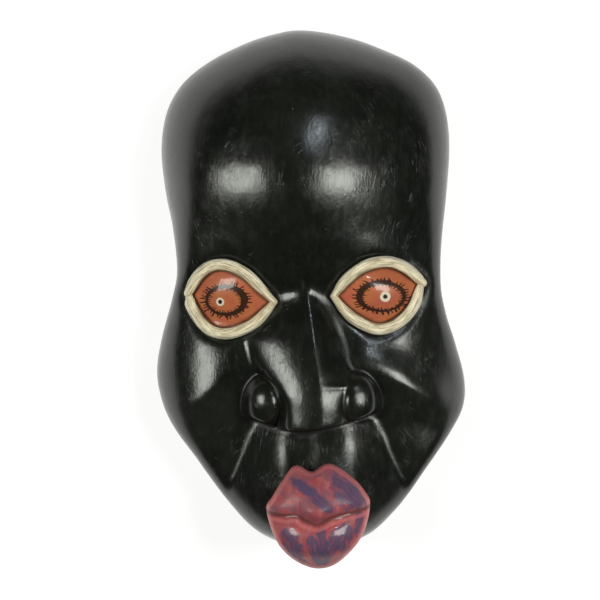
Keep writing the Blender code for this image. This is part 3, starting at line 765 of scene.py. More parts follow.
class Graph:
    """Adds shader nodes to a tree and links them."""

    def __init__(self, tree: bpy.types.NodeTree) -> None:
        """Work on a tree."""
        self.tree = tree

    def feed(self, socket: Socket, value: Input) -> None:
        """Link a socket to another one, or give it a value."""
        if isinstance(value, Socket):
            self.tree.links.new(value, socket)
        else:
            socket.default_value = value

    def add(self, kind: str, inputs: dict[str | int, Input], **settings: object) -> bpy.types.Node:
        """Add a node.

        Args:
            kind: The node's type.
            inputs: What goes into its sockets, by name or by number.
            settings: The node's own settings.

        Returns:
            The node.
        """
        node = self.tree.nodes.new(kind)
        for name, value in settings.items():
            setattr(node, name, value)
        for key, value in inputs.items():
            self.feed(node.inputs[key], value)
        return node

    def math(self, operation: str, *values: Input) -> Socket:
        """Return the result of one sum."""
        inputs = dict(enumerate(values))
        return self.add("ShaderNodeMath", inputs, operation=operation).outputs[0]

    def vector(self, operation: str, *values: Input) -> Socket:
        """Return the result of one sum on vectors."""
        node = self.add("ShaderNodeVectorMath", dict(enumerate(values)), operation=operation)
        return node.outputs["Value" if operation in ("LENGTH", "DISTANCE") else "Vector"]

    def turned(self, vector: Input, angle: Input) -> Socket:
        """Return a vector turned about the axis that points out of the face."""
        inputs = {"Vector": vector, "Angle": angle}
        node = self.add("ShaderNodeVectorRotate", inputs, rotation_type="Z_AXIS")
        return node.outputs["Vector"]

    def step(self, value: Input, low: Input, high: Input, start: Input = 0.0, end: Input = 1.0) -> Socket:
        """Return a soft step, from start at low to end at high."""
        inputs = {"Value": value, "From Min": low, "From Max": high, "To Min": start, "To Max": end}
        node = self.add("ShaderNodeMapRange", inputs, interpolation_type="SMOOTHSTEP")
        return node.outputs["Result"]

    def fade(self, value: Input, low: Input, high: Input) -> Socket:
        """Return a soft step down, from 1 at low to 0 at high."""
        return self.step(value, low, high, 1.0, 0.0)

    def noise(self, vector: Input, scale: Input, detail: float = 3.0, rough: float = 0.5) -> Socket:
        """Return cloudy noise from 0 to 1."""
        inputs = {"Vector": vector, "Scale": scale, "Detail": detail, "Roughness": rough}
        return self.add("ShaderNodeTexNoise", inputs).outputs["Fac"]

    def mix(self, factor: Input, first: Input, second: Input) -> Socket:
        """Return a colour between two."""
        first, second = ((*part, 1.0) if isinstance(part, tuple) else part for part in (first, second))
        node = self.add("ShaderNodeMix", {0: factor, 6: first, 7: second}, data_type="RGBA")
        return node.outputs[2]

    def cover(self, colour: Input, paint: Colour, mask: Input, share: float = 1.0) -> Socket:
        """Return a colour with a share of a paint laid over it where a mask is."""
        return self.mix(self.math("MULTIPLY", mask, share), colour, paint)

    def blend(self, factor: Input, first: Input, second: Input) -> Socket:
        """Return a number between two."""
        return self.add("ShaderNodeMix", {0: factor, 2: first, 3: second}).outputs[0]

    def place(self) -> Socket:
        """Return the place on the object."""
        return self.add("ShaderNodeTexCoord", {}).outputs["Object"]

    def measured(self, name: str, several: bool = False) -> Socket:
        """Return a measure that is stored at the vertices."""
        node = self.add("ShaderNodeAttribute", {}, attribute_name=name)
        return node.outputs["Vector" if several else "Fac"]

    def parts(self, vector: Input) -> tuple[Socket, ...]:
        """Return a vector's three numbers."""
        return tuple(self.add("ShaderNodeSeparateXYZ", {"Vector": vector}).outputs)


class Effect:
    """An effect that several finishes use, kept as one group of shader nodes."""

    name: str = "Effect"
    takes: tuple[tuple[str, str], ...] = ()
    gives: tuple[tuple[str, str], ...] = ()

    def build(self, graph: Graph, given: dict[str, Socket]) -> dict[str, Input]:
        """Add the group's nodes and return what goes to its outputs."""
        raise NotImplementedError

    def tree(self) -> bpy.types.NodeTree:
        """Return the group, made on first use."""
        found = bpy.data.node_groups.get(self.name)
        if found:
            return found
        tree = bpy.data.node_groups.new(self.name, "ShaderNodeTree")
        for name, kind in self.takes:
            tree.interface.new_socket(name, in_out="INPUT", socket_type=kind)
        for name, kind in self.gives:
            tree.interface.new_socket(name, in_out="OUTPUT", socket_type=kind)
        graph = Graph(tree)
        start = tree.nodes.new("NodeGroupInput")
        end = tree.nodes.new("NodeGroupOutput")
        given = {name: start.outputs[name] for name, _ in self.takes}
        for name, value in self.build(graph, given).items():
            graph.feed(end.inputs[name], value)
        return tree

    def use(self, graph: Graph, **inputs: Input) -> Socket:
        """Add the effect to a graph, with inputs named as its own are, and return what it gives."""
        return graph.add("ShaderNodeGroup", inputs, node_tree=self.tree()).outputs[0]


class Patches(Effect):
    """Soft irregular patches, drawn out along the directions that the stretch makes small."""

    name = "Patches"
    takes = (("Place", VECTOR), ("Stretch", VECTOR), ("Scale", FLOAT), ("Low", FLOAT), ("High", FLOAT))
    gives = (("Mask", FLOAT),)
    detail: float = 5.0
    rough: float = 0.6

    def build(self, graph: Graph, given: dict[str, Socket]) -> dict[str, Input]:
        """Step stretched noise."""
        place = graph.vector("MULTIPLY", given["Place"], given["Stretch"])
        noise = graph.noise(place, given["Scale"], self.detail, self.rough)
        return {"Mask": graph.step(noise, given["Low"], given["High"])}


@dataclass(frozen=True)
class Spread:
    """How a finish's patches lie: their stretch, how fine they are, where they begin and are full."""

    stretch: Triple
    scale: float
    low: float
    high: float

    def mask(self, graph: Graph, place: Input) -> Socket:
        """Return where the patches are."""
        return Patches().use(
            graph, Place=place, Stretch=self.stretch, Scale=self.scale, Low=self.low, High=self.high
        )


@dataclass(frozen=True)
class Grain:
    """Noise that makes a finish uneven: its stretch, how fine it is and how detailed."""

    stretch: Triple
    scale: float
    detail: float = 3.0

    def read(self, graph: Graph, place: Input) -> Socket:
        """Return the noise, from 0 to 1."""
        return graph.noise(graph.vector("MULTIPLY", place, self.stretch), self.scale, self.detail)


class Scratches(Effect):
    """Fine scratches in one direction, here and there."""

    name = "Scratches"
    takes = (
        ("Place", VECTOR), ("Turn", FLOAT), ("Stretch", VECTOR), ("Scale", FLOAT),
        ("Width", FLOAT), ("Share", FLOAT),
    )
    gives = (("Mask", FLOAT),)
    places: Grain = Grain(EVEN, 70.0, 2.0)
    softness: float = 0.12

    def build(self, graph: Graph, given: dict[str, Socket]) -> dict[str, Input]:
        """Thin the level lines of long drawn-out noise, and keep some of them."""
        turned = graph.turned(given["Place"], given["Turn"])
        drawn = graph.vector("MULTIPLY", turned, given["Stretch"])
        long = graph.noise(drawn, given["Scale"], detail=0.0)
        away = graph.math("ABSOLUTE", graph.math("SUBTRACT", long, 0.5))
        line = graph.fade(away, 0.0, given["Width"])
        low = graph.math("SUBTRACT", 1.0, given["Share"])
        some = self.places.read(graph, turned)
        some = graph.step(some, low, graph.math("ADD", low, self.softness))
        return {"Mask": graph.math("MULTIPLY", line, some)}


class Specks(Effect):
    """Small round specks, in some of the cells of space."""

    name = "Specks"
    takes = (("Place", VECTOR), ("Scale", FLOAT), ("Size", FLOAT), ("Share", FLOAT))
    gives = (("Mask", FLOAT),)

    def build(self, graph: Graph, given: dict[str, Socket]) -> dict[str, Input]:
        """Keep the middles of a share of the cells."""
        inputs = {"Vector": given["Place"], "Scale": given["Scale"], "Randomness": 1.0}
        cells = graph.add("ShaderNodeTexVoronoi", inputs)
        dot = graph.fade(cells.outputs["Distance"], 0.0, given["Size"])
        chance = graph.add("ShaderNodeSeparateColor", {"Color": cells.outputs["Color"]}).outputs[0]
        kept = graph.math("LESS_THAN", chance, given["Share"])
        return {"Mask": graph.math("MULTIPLY", dot, kept)}


class Dab(Effect):
    """A dab of paint: an oval with ragged, streaky edges."""

    name = "Dab"
    takes = (
        ("Place", VECTOR), ("Middle", VECTOR), ("Turn", FLOAT), ("Size", VECTOR), ("Ragged", FLOAT),
    )
    gives = (("Mask", FLOAT),)
    streak_stretch: Triple = (90.0, 620.0, 1.0)
    streak_detail: float = 4.0
    streak_rough: float = 0.65
    blots: Grain = Grain(EVEN, 190.0)
    edge: tuple[float, float] = (0.85, 1.15)
    dry_streaks: tuple[float, float] = (0.34, 0.50)
    dry_least: float = 0.30

    def build(self, graph: Graph, given: dict[str, Socket]) -> dict[str, Input]:
        """Measure places against the turned oval, pushed about by streaks."""
        offset = graph.vector("SUBTRACT", given["Place"], given["Middle"])
        turned = graph.turned(graph.vector("MULTIPLY", offset, FLAT), given["Turn"])
        stretched = graph.vector("MULTIPLY", turned, self.streak_stretch)
        streaks = graph.noise(stretched, 1.0, self.streak_detail, self.streak_rough)
        blots = self.blots.read(graph, given["Place"])
        push = graph.math("SUBTRACT", graph.math("ADD", streaks, blots), 1.0)
        shares = graph.vector("MULTIPLY", graph.vector("DIVIDE", turned, given["Size"]), FLAT)
        reach = graph.vector("LENGTH", shares)
        reach = graph.math("ADD", reach, graph.math("MULTIPLY", push, given["Ragged"]))
        dry = graph.step(streaks, *self.dry_streaks, self.dry_least, 1.0)
        return {"Mask": graph.math("MULTIPLY", graph.fade(reach, *self.edge), dry)}


class LashRing(Effect):
    """A brushed oval ring with short strokes outside and inside it."""

    name = "Lash ring"
    takes = (
        ("Place", VECTOR), ("Middle", VECTOR), ("Turn", FLOAT), ("Size", VECTOR),
        ("Line", FLOAT), ("Heavier", FLOAT), ("Heavy Side", FLOAT), ("Strokes", FLOAT),
        ("Outward", FLOAT), ("Inward", FLOAT), ("Seed", FLOAT),
    )
    gives = (("Ink", FLOAT),)
    unsteady: Grain = Grain(EVEN, 260.0)
    stray: float = 0.0016
    slant: float = 1.6
    ring_edge: tuple[float, float] = (-0.00012, 0.00016)
    bend: float = 260.0
    shortest: float = 0.45
    longer: float = 0.75
    stroke_width: float = 0.29
    stroke_taper: float = -0.14
    stroke_edge: tuple[float, float] = (-0.05, 0.05)
    tip: tuple[float, float] = (0.85, 1.0)

    def build(self, graph: Graph, given: dict[str, Socket]) -> dict[str, Input]:
        """Draw in turned oval coordinates: the distance from the ring and the angle round it."""
        offset = graph.vector("SUBTRACT", given["Place"], given["Middle"])
        turned = graph.turned(graph.vector("MULTIPLY", offset, FLAT), given["Turn"])
        shares = graph.vector("MULTIPLY", graph.vector("DIVIDE", turned, given["Size"]), FLAT)
        across, up, _ = graph.parts(shares)
        angle = graph.math("ARCTAN2", up, across)
        wide, tall, _ = graph.parts(given["Size"])
        mean = graph.math("MULTIPLY", graph.math("ADD", wide, tall), 0.5)
        out = graph.math("SUBTRACT", graph.vector("LENGTH", shares), 1.0)
        out = graph.math("MULTIPLY", out, mean)
        wobble = graph.math("SUBTRACT", self.unsteady.read(graph, given["Place"]), 0.5)
        ring_out = graph.math("MULTIPLY_ADD", wobble, self.stray, out)
        lean = graph.math("COSINE", graph.math("SUBTRACT", angle, given["Heavy Side"]))
        half = graph.math("MULTIPLY_ADD", lean, given["Heavier"], given["Line"])
        half = graph.math("MULTIPLY", half, 0.5)
        edge = graph.math("SUBTRACT", graph.math("ABSOLUTE", ring_out), half)
        ink = graph.fade(edge, *self.ring_edge)
        turns = graph.math("MULTIPLY", angle, graph.math("DIVIDE", given["Strokes"], 2.0 * math.pi))
        turns = graph.math("ADD", turns, graph.math("MULTIPLY", wobble, self.slant))
        number = graph.math("ADD", graph.math("FLOOR", turns), given["Seed"])
        chance = graph.add("ShaderNodeTexWhiteNoise", {"W": number}, noise_dimensions="1D")
        chances = graph.add("ShaderNodeSeparateColor", {"Color": chance.outputs["Color"]})
        first, second, third = chances.outputs
        beside = graph.math("SUBTRACT", graph.math("FRACT", turns), 0.5)
        lean = graph.math("MULTIPLY", out, self.bend)
        lean = graph.math("MULTIPLY", graph.math("SUBTRACT", third, 0.5), lean)
        beside = graph.math("ABSOLUTE", graph.math("ADD", beside, lean))
        for side, reach, luck in ((1.0, "Outward", first), (-1.0, "Inward", second)):
            length = graph.math("MULTIPLY_ADD", luck, self.longer, self.shortest)
            length = graph.math("ADD", graph.math("MULTIPLY", given[reach], length), half)
            run = graph.math("DIVIDE", graph.math("MULTIPLY", out, side), length)
            width = graph.math("MULTIPLY_ADD", run, self.stroke_taper, self.stroke_width)
            stroke = graph.fade(graph.math("SUBTRACT", beside, width), *self.stroke_edge)
            started = graph.math("GREATER_THAN", run, 0.0)
            drawn = graph.math("MULTIPLY", started, graph.fade(run, *self.tip))
            stroke = graph.math("MULTIPLY", stroke, drawn)
            ink = graph.math("MAXIMUM", ink, stroke)
        return {"Ink": ink}


@dataclass(frozen=True)
class Finish:
    """A finish, with the numbers that stay the same all over it."""

    name: str = "Finish"
    specular: float = 0.5
    coat_roughness: float = 0.1
    relief_depth: float = 0.0

    def paint(self, graph: Graph, shader: bpy.types.Node) -> None:
        """Add the nodes that give the shader its colour, roughness and relief."""
        raise NotImplementedError

    def material(self) -> bpy.types.Material:
        """Return the finish as a material."""
        material = bpy.data.materials.new(self.name)
        material.use_nodes = True
        shader = material.node_tree.nodes["Principled BSDF"]
        shader.inputs["Specular IOR Level"].default_value = self.specular
        shader.inputs["Coat Roughness"].default_value = self.coat_roughness
        self.paint(Graph(material.node_tree), shader)
        return material

    def relief(self, graph: Graph, shader: bpy.types.Node, height: Input) -> None:
        """Give the shader the finish's relief, whose depth is in metres."""
        bump = graph.add("ShaderNodeBump", {"Height": height, "Distance": self.relief_depth})
        graph.feed(shader.inputs["Normal"], bump.outputs["Normal"])


@dataclass(frozen=True)
class BlackLacquer(Finish):
    """Black paint rubbed to a soft gloss in front, with painted shade in its valleys, and bare wood
    behind.
    """

    name: str = "Black lacquer"
    relief_depth: float = 0.00012
    black: Colour = (0.0052, 0.0060, 0.0045)
    grey: Colour = (0.0120, 0.0132, 0.0104)
    # black laid over the valleys as painted shade
    valley_shade_black: Colour = (0.0, 0.0, 0.0)
    scratch: Colour = (0.03, 0.033, 0.027)
    fleck: Colour = (0.25, 0.25, 0.22)
    wood: Colour = (0.225, 0.115, 0.050)
    wood_dark: Colour = (0.095, 0.045, 0.020)
    clouds: Spread = Spread(EVEN, 22.0, 0.35, 0.75)
    rubbed: Spread = Spread((1.0, 0.45, 1.0), 230.0, 0.38, 0.74)
    rubbed_share: float = 0.45
    fleck_scale: float = 170.0
    fleck_size: float = 0.09
    fleck_share: float = 0.02
    scratch_turns: tuple[float, ...] = (0.15, 0.95, -0.6)
    scratch_stretch: Triple = (1.0, 0.03, 1.0)
    scratch_scale: float = 500.0
    scratch_width: float = 0.02
    scratch_share: float = 0.45
    scratch_strength: float = 0.25
    grain: Spread = Spread((1.0, 0.07, 1.0), 420.0, 0.3, 0.75)
    stains: Spread = Spread((1.0, 0.5, 1.0), 26.0, 0.4, 0.7)
    stain_share: float = 0.5
    paint_end: tuple[float, float] = (7.0, 8.2)
    ragged: Grain = Grain(EVEN, 90.0, 5.0)
    ragged_reach: float = 6.0
    gloss: float = 0.19
    dull: float = 0.26
    cloud_dull: float = 0.03
    wood_rough: float = 0.72
    # recess depths where the painted shade and the duller gloss begin and are full, and how strong each
    # is
    valley: tuple[float, float] = (0.08, 0.40)
    valley_dull: float = 0.18
    valley_painted_shade: float = 0.7
    swell: Grain = Grain(EVEN, 120.0, 4.0)
    fine: Grain = Grain((1.0, 0.4, 1.0), 900.0)
    fine_share: float = 0.55
    strokes: Grain = Grain((1.0, 0.12, 1.0), 700.0, 2.0)
    stroke_share: float = 0.35
    scratch_cut: float = -0.25

    def scratches(self, graph: Graph, place: Input) -> Socket:
        """Return where there are scratches, in each of their directions."""
        lines = 0.0
        for turn in self.scratch_turns:
            some = Scratches().use(
                graph, Place=place, Turn=turn, Stretch=self.scratch_stretch,
                Scale=self.scratch_scale, Width=self.scratch_width, Share=self.scratch_share,
            )
            lines = graph.math("MAXIMUM", some, lines)
        return lines

    def paint(self, graph: Graph, shader: bpy.types.Node) -> None:
        """Mix the paint in front with the wood behind by the depth below the surface."""
        place = graph.place()
        clouds = self.clouds.mask(graph, place)
        rubbed = self.rubbed.mask(graph, place)
        lines = self.scratches(graph, place)
        flecks = Specks().use(
            graph, Place=place, Scale=self.fleck_scale, Size=self.fleck_size, Share=self.fleck_share
        )
        valley = graph.step(graph.measured("recess"), *self.valley)
        worn = graph.math("MULTIPLY_ADD", rubbed, self.rubbed_share, clouds)
        black = graph.mix(worn, self.black, self.grey)
        black = graph.cover(black, self.scratch, lines, self.scratch_strength)
        black = graph.cover(black, self.fleck, flecks)
        # painted shade: the valleys of the carving are darkened towards pure black
        black = graph.cover(black, self.valley_shade_black, valley, self.valley_painted_shade)
        grain = self.grain.mask(graph, place)
        wood = graph.mix(grain, self.wood, self.wood_dark)
        wood = graph.cover(wood, self.wood_dark, self.stains.mask(graph, place), self.stain_share)
        ragged = self.ragged.read(graph, place)
        depth = graph.math("MULTIPLY_ADD", ragged, self.ragged_reach, graph.measured("depth_below"))
        bare = graph.step(depth, *self.paint_end)
        graph.feed(shader.inputs["Base Color"], graph.mix(bare, black, wood))
        gloss = graph.blend(rubbed, self.gloss, self.dull)
        gloss = graph.math("MULTIPLY_ADD", clouds, self.cloud_dull, gloss)
        gloss = graph.math("MULTIPLY_ADD", valley, self.valley_dull, gloss)
        graph.feed(shader.inputs["Roughness"], graph.blend(bare, gloss, self.wood_rough))
        height = self.swell.read(graph, place)
        height = graph.math("MULTIPLY_ADD", self.fine.read(graph, place), self.fine_share, height)
        height = graph.math("MULTIPLY_ADD", self.strokes.read(graph, place), self.stroke_share, height)
        height = graph.math("MULTIPLY_ADD", lines, self.scratch_cut, height)
        self.relief(graph, shader, graph.blend(bare, height, grain))


@dataclass(frozen=True)
class LidPaint(Finish):
    """Cream paint on the lids, stained brown in streaks along them."""

    name: str = "Cream lid paint"
    relief_depth: float = 0.00025
    cream: Colour = (0.86, 0.75, 0.54)
    pale: Colour = (0.88, 0.82, 0.68)
    stain: Colour = (0.25, 0.18, 0.085)
    # dark brown for the specks, and for the painted shade along the lid's edges
    dark: Colour = (0.045, 0.026, 0.013)
    streaks: Spread = Spread((0.10, 1.6, 0.0), 1.0, 0.44, 0.62)
    blots: Spread = Spread((0.5, 0.9, 0.0), 0.8, 0.55, 0.75)
    blot_share: float = 0.6
    stain_share: float = 0.8
    outer: tuple[float, float] = (1.4, 2.6)
    outer_share: float = 0.7
    inner: tuple[float, float] = (-3.5, -2.7)
    inner_shade_share: float = 0.85
    speck_scale: float = 1.1
    speck_size: float = 0.35
    speck_share: float = 0.10
    speck_strength: float = 0.7
    foot: tuple[float, float] = (0.1, 1.0)
    foot_shade_share: float = 0.9
    clean_rough: float = 0.34
    stained_rough: float = 0.5
    gouged: Grain = Grain((0.2, 2.0, 0.0), 1.0, 4.0)

    def paint(self, graph: Graph, shader: bpy.types.Node) -> None:
        """Streak the cream along the lid, and paint shade along its inner edge and its foot."""
        run = graph.measured("lid_run", several=True)
        _, across, height = graph.parts(run)
        blots = graph.math("MULTIPLY", self.blots.mask(graph, run), self.blot_share)
        stained = graph.math("MAXIMUM", self.streaks.mask(graph, run), blots)
        specks = Specks().use(
            graph, Place=run, Scale=self.speck_scale, Size=self.speck_size, Share=self.speck_share
        )
        colour = graph.cover(self.cream, self.pale, graph.step(across, *self.outer), self.outer_share)
        colour = graph.cover(colour, self.stain, stained, self.stain_share)
        # painted shade along the lid's inner edge, in the crease against the eyeball
        colour = graph.cover(colour, self.dark, graph.fade(across, *self.inner), self.inner_shade_share)
        colour = graph.cover(colour, self.dark, specks, self.speck_strength)
        # painted shade at the lid's foot, where it meets the face
        colour = graph.cover(colour, self.dark, graph.fade(height, *self.foot), self.foot_shade_share)
        graph.feed(shader.inputs["Base Color"], colour)
        rough = graph.blend(stained, self.clean_rough, self.stained_rough)
        graph.feed(shader.inputs["Roughness"], rough)
        self.relief(graph, shader, self.gouged.read(graph, run))


@dataclass(frozen=True)
class EyePaint(Finish):
    """Glossy orange paint on both eyeballs, with a lash ring and a pupil on each."""

    name: str = "Orange eye paint"
    specular: float = 0.2
    coat_roughness: float = 0.06
    relief_depth: float = 0.00018
    coat: float = 0.38
    orange: Colour = (0.46, 0.140, 0.055)
    rose: Colour = (0.42, 0.10, 0.060)
    # dark brown of the painted shade at the ball's edge under the lids
    edge: Colour = (0.10, 0.035, 0.015)
    ink: Colour = (0.020, 0.011, 0.008)
    white: Colour = (0.72, 0.62, 0.50)
    clouds: Spread = Spread(FLAT, 70.0, 0.4, 0.7)
    # how far in from the lids the painted shade and the dull uncoated band reach
    rim: tuple[float, float] = (4.2, 6.6)
    rim_noise: Grain = Grain(EVEN, 300.0)
    rim_stray: float = 1.6
    rim_share: float = 0.85
    rim_rough: float = 0.3
    ink_share: float = 0.95
    pupil_edge: tuple[float, float] = (0.0002, 0.0006)
    pupil_noise: Grain = Grain(EVEN, 500.0)
    pupil_stray: float = 0.0008
    smooth_rough: float = 0.26
    clouded_rough: float = 0.34
    brushed: Grain = Grain(EVEN, 260.0, 4.0)
    rings: tuple[dict[str, Input], ...] = ()
    pupils: tuple[tuple[Triple, float, float], ...] = ()

    def paint(self, graph: Graph, shader: bpy.types.Node) -> None:
        """Draw the rings and pupils over the orange, and paint shade round the edge under the lids."""
        place = graph.place()
        clouds = self.clouds.mask(graph, place)
        stray = self.rim_noise.read(graph, place)
        rim = graph.math("MULTIPLY_ADD", stray, self.rim_stray, graph.measured("inset"))
        rim = graph.fade(rim, *self.rim)
        colour = graph.mix(clouds, self.orange, self.rose)
        # painted shade: the ball's edge under the lids is darkened
        colour = graph.cover(colour, self.edge, rim, self.rim_share)
        for ring in self.rings:
            ink = LashRing().use(graph, Place=place, **ring)
            colour = graph.cover(colour, self.ink, ink, self.ink_share)
        flat = graph.vector("MULTIPLY", place, FLAT)
        for middle, white, dark in self.pupils:
            reach = graph.vector("DISTANCE", flat, middle)
            stray = self.pupil_noise.read(graph, place)
            reach = graph.math("MULTIPLY_ADD", stray, self.pupil_stray, reach)
            for radius, paint in ((white, self.white), (dark, self.ink)):
                low, high = (radius + edge for edge in self.pupil_edge)
                colour = graph.cover(colour, paint, graph.fade(reach, low, high))
        graph.feed(shader.inputs["Base Color"], colour)
        rough = graph.blend(clouds, self.smooth_rough, self.clouded_rough)
        rough = graph.math("MULTIPLY_ADD", rim, self.rim_rough, rough)
        graph.feed(shader.inputs["Roughness"], rough)
        coat = graph.math("MULTIPLY_ADD", rim, -self.coat, self.coat)
        graph.feed(shader.inputs["Coat Weight"], coat)
        self.relief(graph, shader, self.brushed.read(graph, place))


@dataclass(frozen=True)
class LipPaint(Finish):
    """Red paint brushed over with violet dabs, with painted highlights and a painted shade line."""

    name: str = "Red and violet lip paint"
    specular: float = 0.22
    coat_roughness: float = 0.12
    relief_depth: float = 0.00035
    upper_coat: float = 0.05
    lower_coat: float = 0.48
    coat_turn: tuple[float, float] = (-2.0, 1.0)
    coat_inset: tuple[float, float] = (2.0, 7.0)
    red: Colour = (0.38, 0.072, 0.078)
    # pink for the brushed tone, and for the painted highlights
    pink_tone_and_highlight: Colour = (0.58, 0.17, 0.17)
    mauve: Colour = (0.21, 0.085, 0.115)
    # brown of the painted shade in the mouth's crease
    brown: Colour = (0.13, 0.035, 0.035)
    violet: Colour = (0.095, 0.062, 0.125)
    brushed: Spread = Spread((1.0, 0.45, 0.3), 260.0, 0.4, 0.72)
    brushed_share: float = 0.6
    washed: Spread = Spread((0.7, 1.0, 0.3), 150.0, 0.38, 0.60)
    wash_turn: tuple[float, float] = (-2.0, 3.0)
    lower_wash: float = 0.25
    upper_wash: float = 0.8
    dab_share: float = 0.93
    ragged: float = 1.1
    unsteady: Grain = Grain(EVEN, 240.0)
    stray: float = 1.4
    # where the painted highlights and the painted shade lie, and how strong they are
    rim: tuple[float, float] = (1.2, 3.2)
    rim_share: float = 0.85
    crease: tuple[float, float] = (0.4, 2.2)
    crease_shade_share: float = 0.9
    edge_drop: float = 3.2
    edge: tuple[float, float] = (0.3, 1.6)
    edge_highlight_share: float = 0.6
    smooth_rough: float = 0.38
    brushed_rough: float = 0.50
    streaky: Grain = Grain((1.0, 0.4, 0.4), 420.0, 4.0)
    dabs: tuple[tuple[Triple, float, Triple], ...] = ()

    def paint(self, graph: Graph, shader: bpy.types.Node) -> None:
        """Lay the dabs over the red, with painted highlights at the rims and below the mouth, and painted
        shade in its crease.
        """
        place = graph.place()
        inset, mouth, _ = graph.parts(graph.measured("lip_lines", several=True))
        brushed = self.brushed.mask(graph, place)
        colour = graph.cover(self.red, self.pink_tone_and_highlight, brushed, self.brushed_share)
        wash = graph.step(mouth, *self.wash_turn, self.lower_wash, self.upper_wash)
        wash = graph.math("MULTIPLY", self.washed.mask(graph, place), wash)
        colour = graph.cover(colour, self.mauve, wash)
        for middle, turn, size in self.dabs:
            dab = Dab().use(graph, Place=place, Middle=middle, Turn=turn, Size=size, Ragged=self.ragged)
            colour = graph.cover(colour, self.violet, dab, self.dab_share)
        wobble = self.unsteady.read(graph, place)
        wobble = graph.math("MULTIPLY_ADD", wobble, self.stray, -0.5 * self.stray)
        # painted highlight: a pale pink line round the lips' outline
        rim = graph.fade(graph.math("ADD", inset, wobble), *self.rim)
        colour = graph.cover(colour, self.pink_tone_and_highlight, rim, self.rim_share)
        # painted shade: a brown line along the mouth's crease
        above = graph.math("ADD", mouth, wobble)
        crease = graph.fade(graph.math("ABSOLUTE", above), *self.crease)
        colour = graph.cover(colour, self.brown, crease, self.crease_shade_share)
        # painted highlight: a pale pink line just below the mouth, on the lower lip's ridge
        below = graph.math("ABSOLUTE", graph.math("ADD", above, self.edge_drop))
        colour = graph.cover(colour, self.pink_tone_and_highlight, graph.fade(below, *self.edge), self.edge_highlight_share)
        graph.feed(shader.inputs["Base Color"], colour)
        rough = graph.blend(brushed, self.smooth_rough, self.brushed_rough)
        graph.feed(shader.inputs["Roughness"], rough)
        coat = graph.step(mouth, *self.coat_turn, self.lower_coat, self.upper_coat)
        coat = graph.math("MULTIPLY", coat, graph.step(inset, *self.coat_inset))
        graph.feed(shader.inputs["Coat Weight"], coat)
        self.relief(graph, shader, self.streaky.read(graph, place))


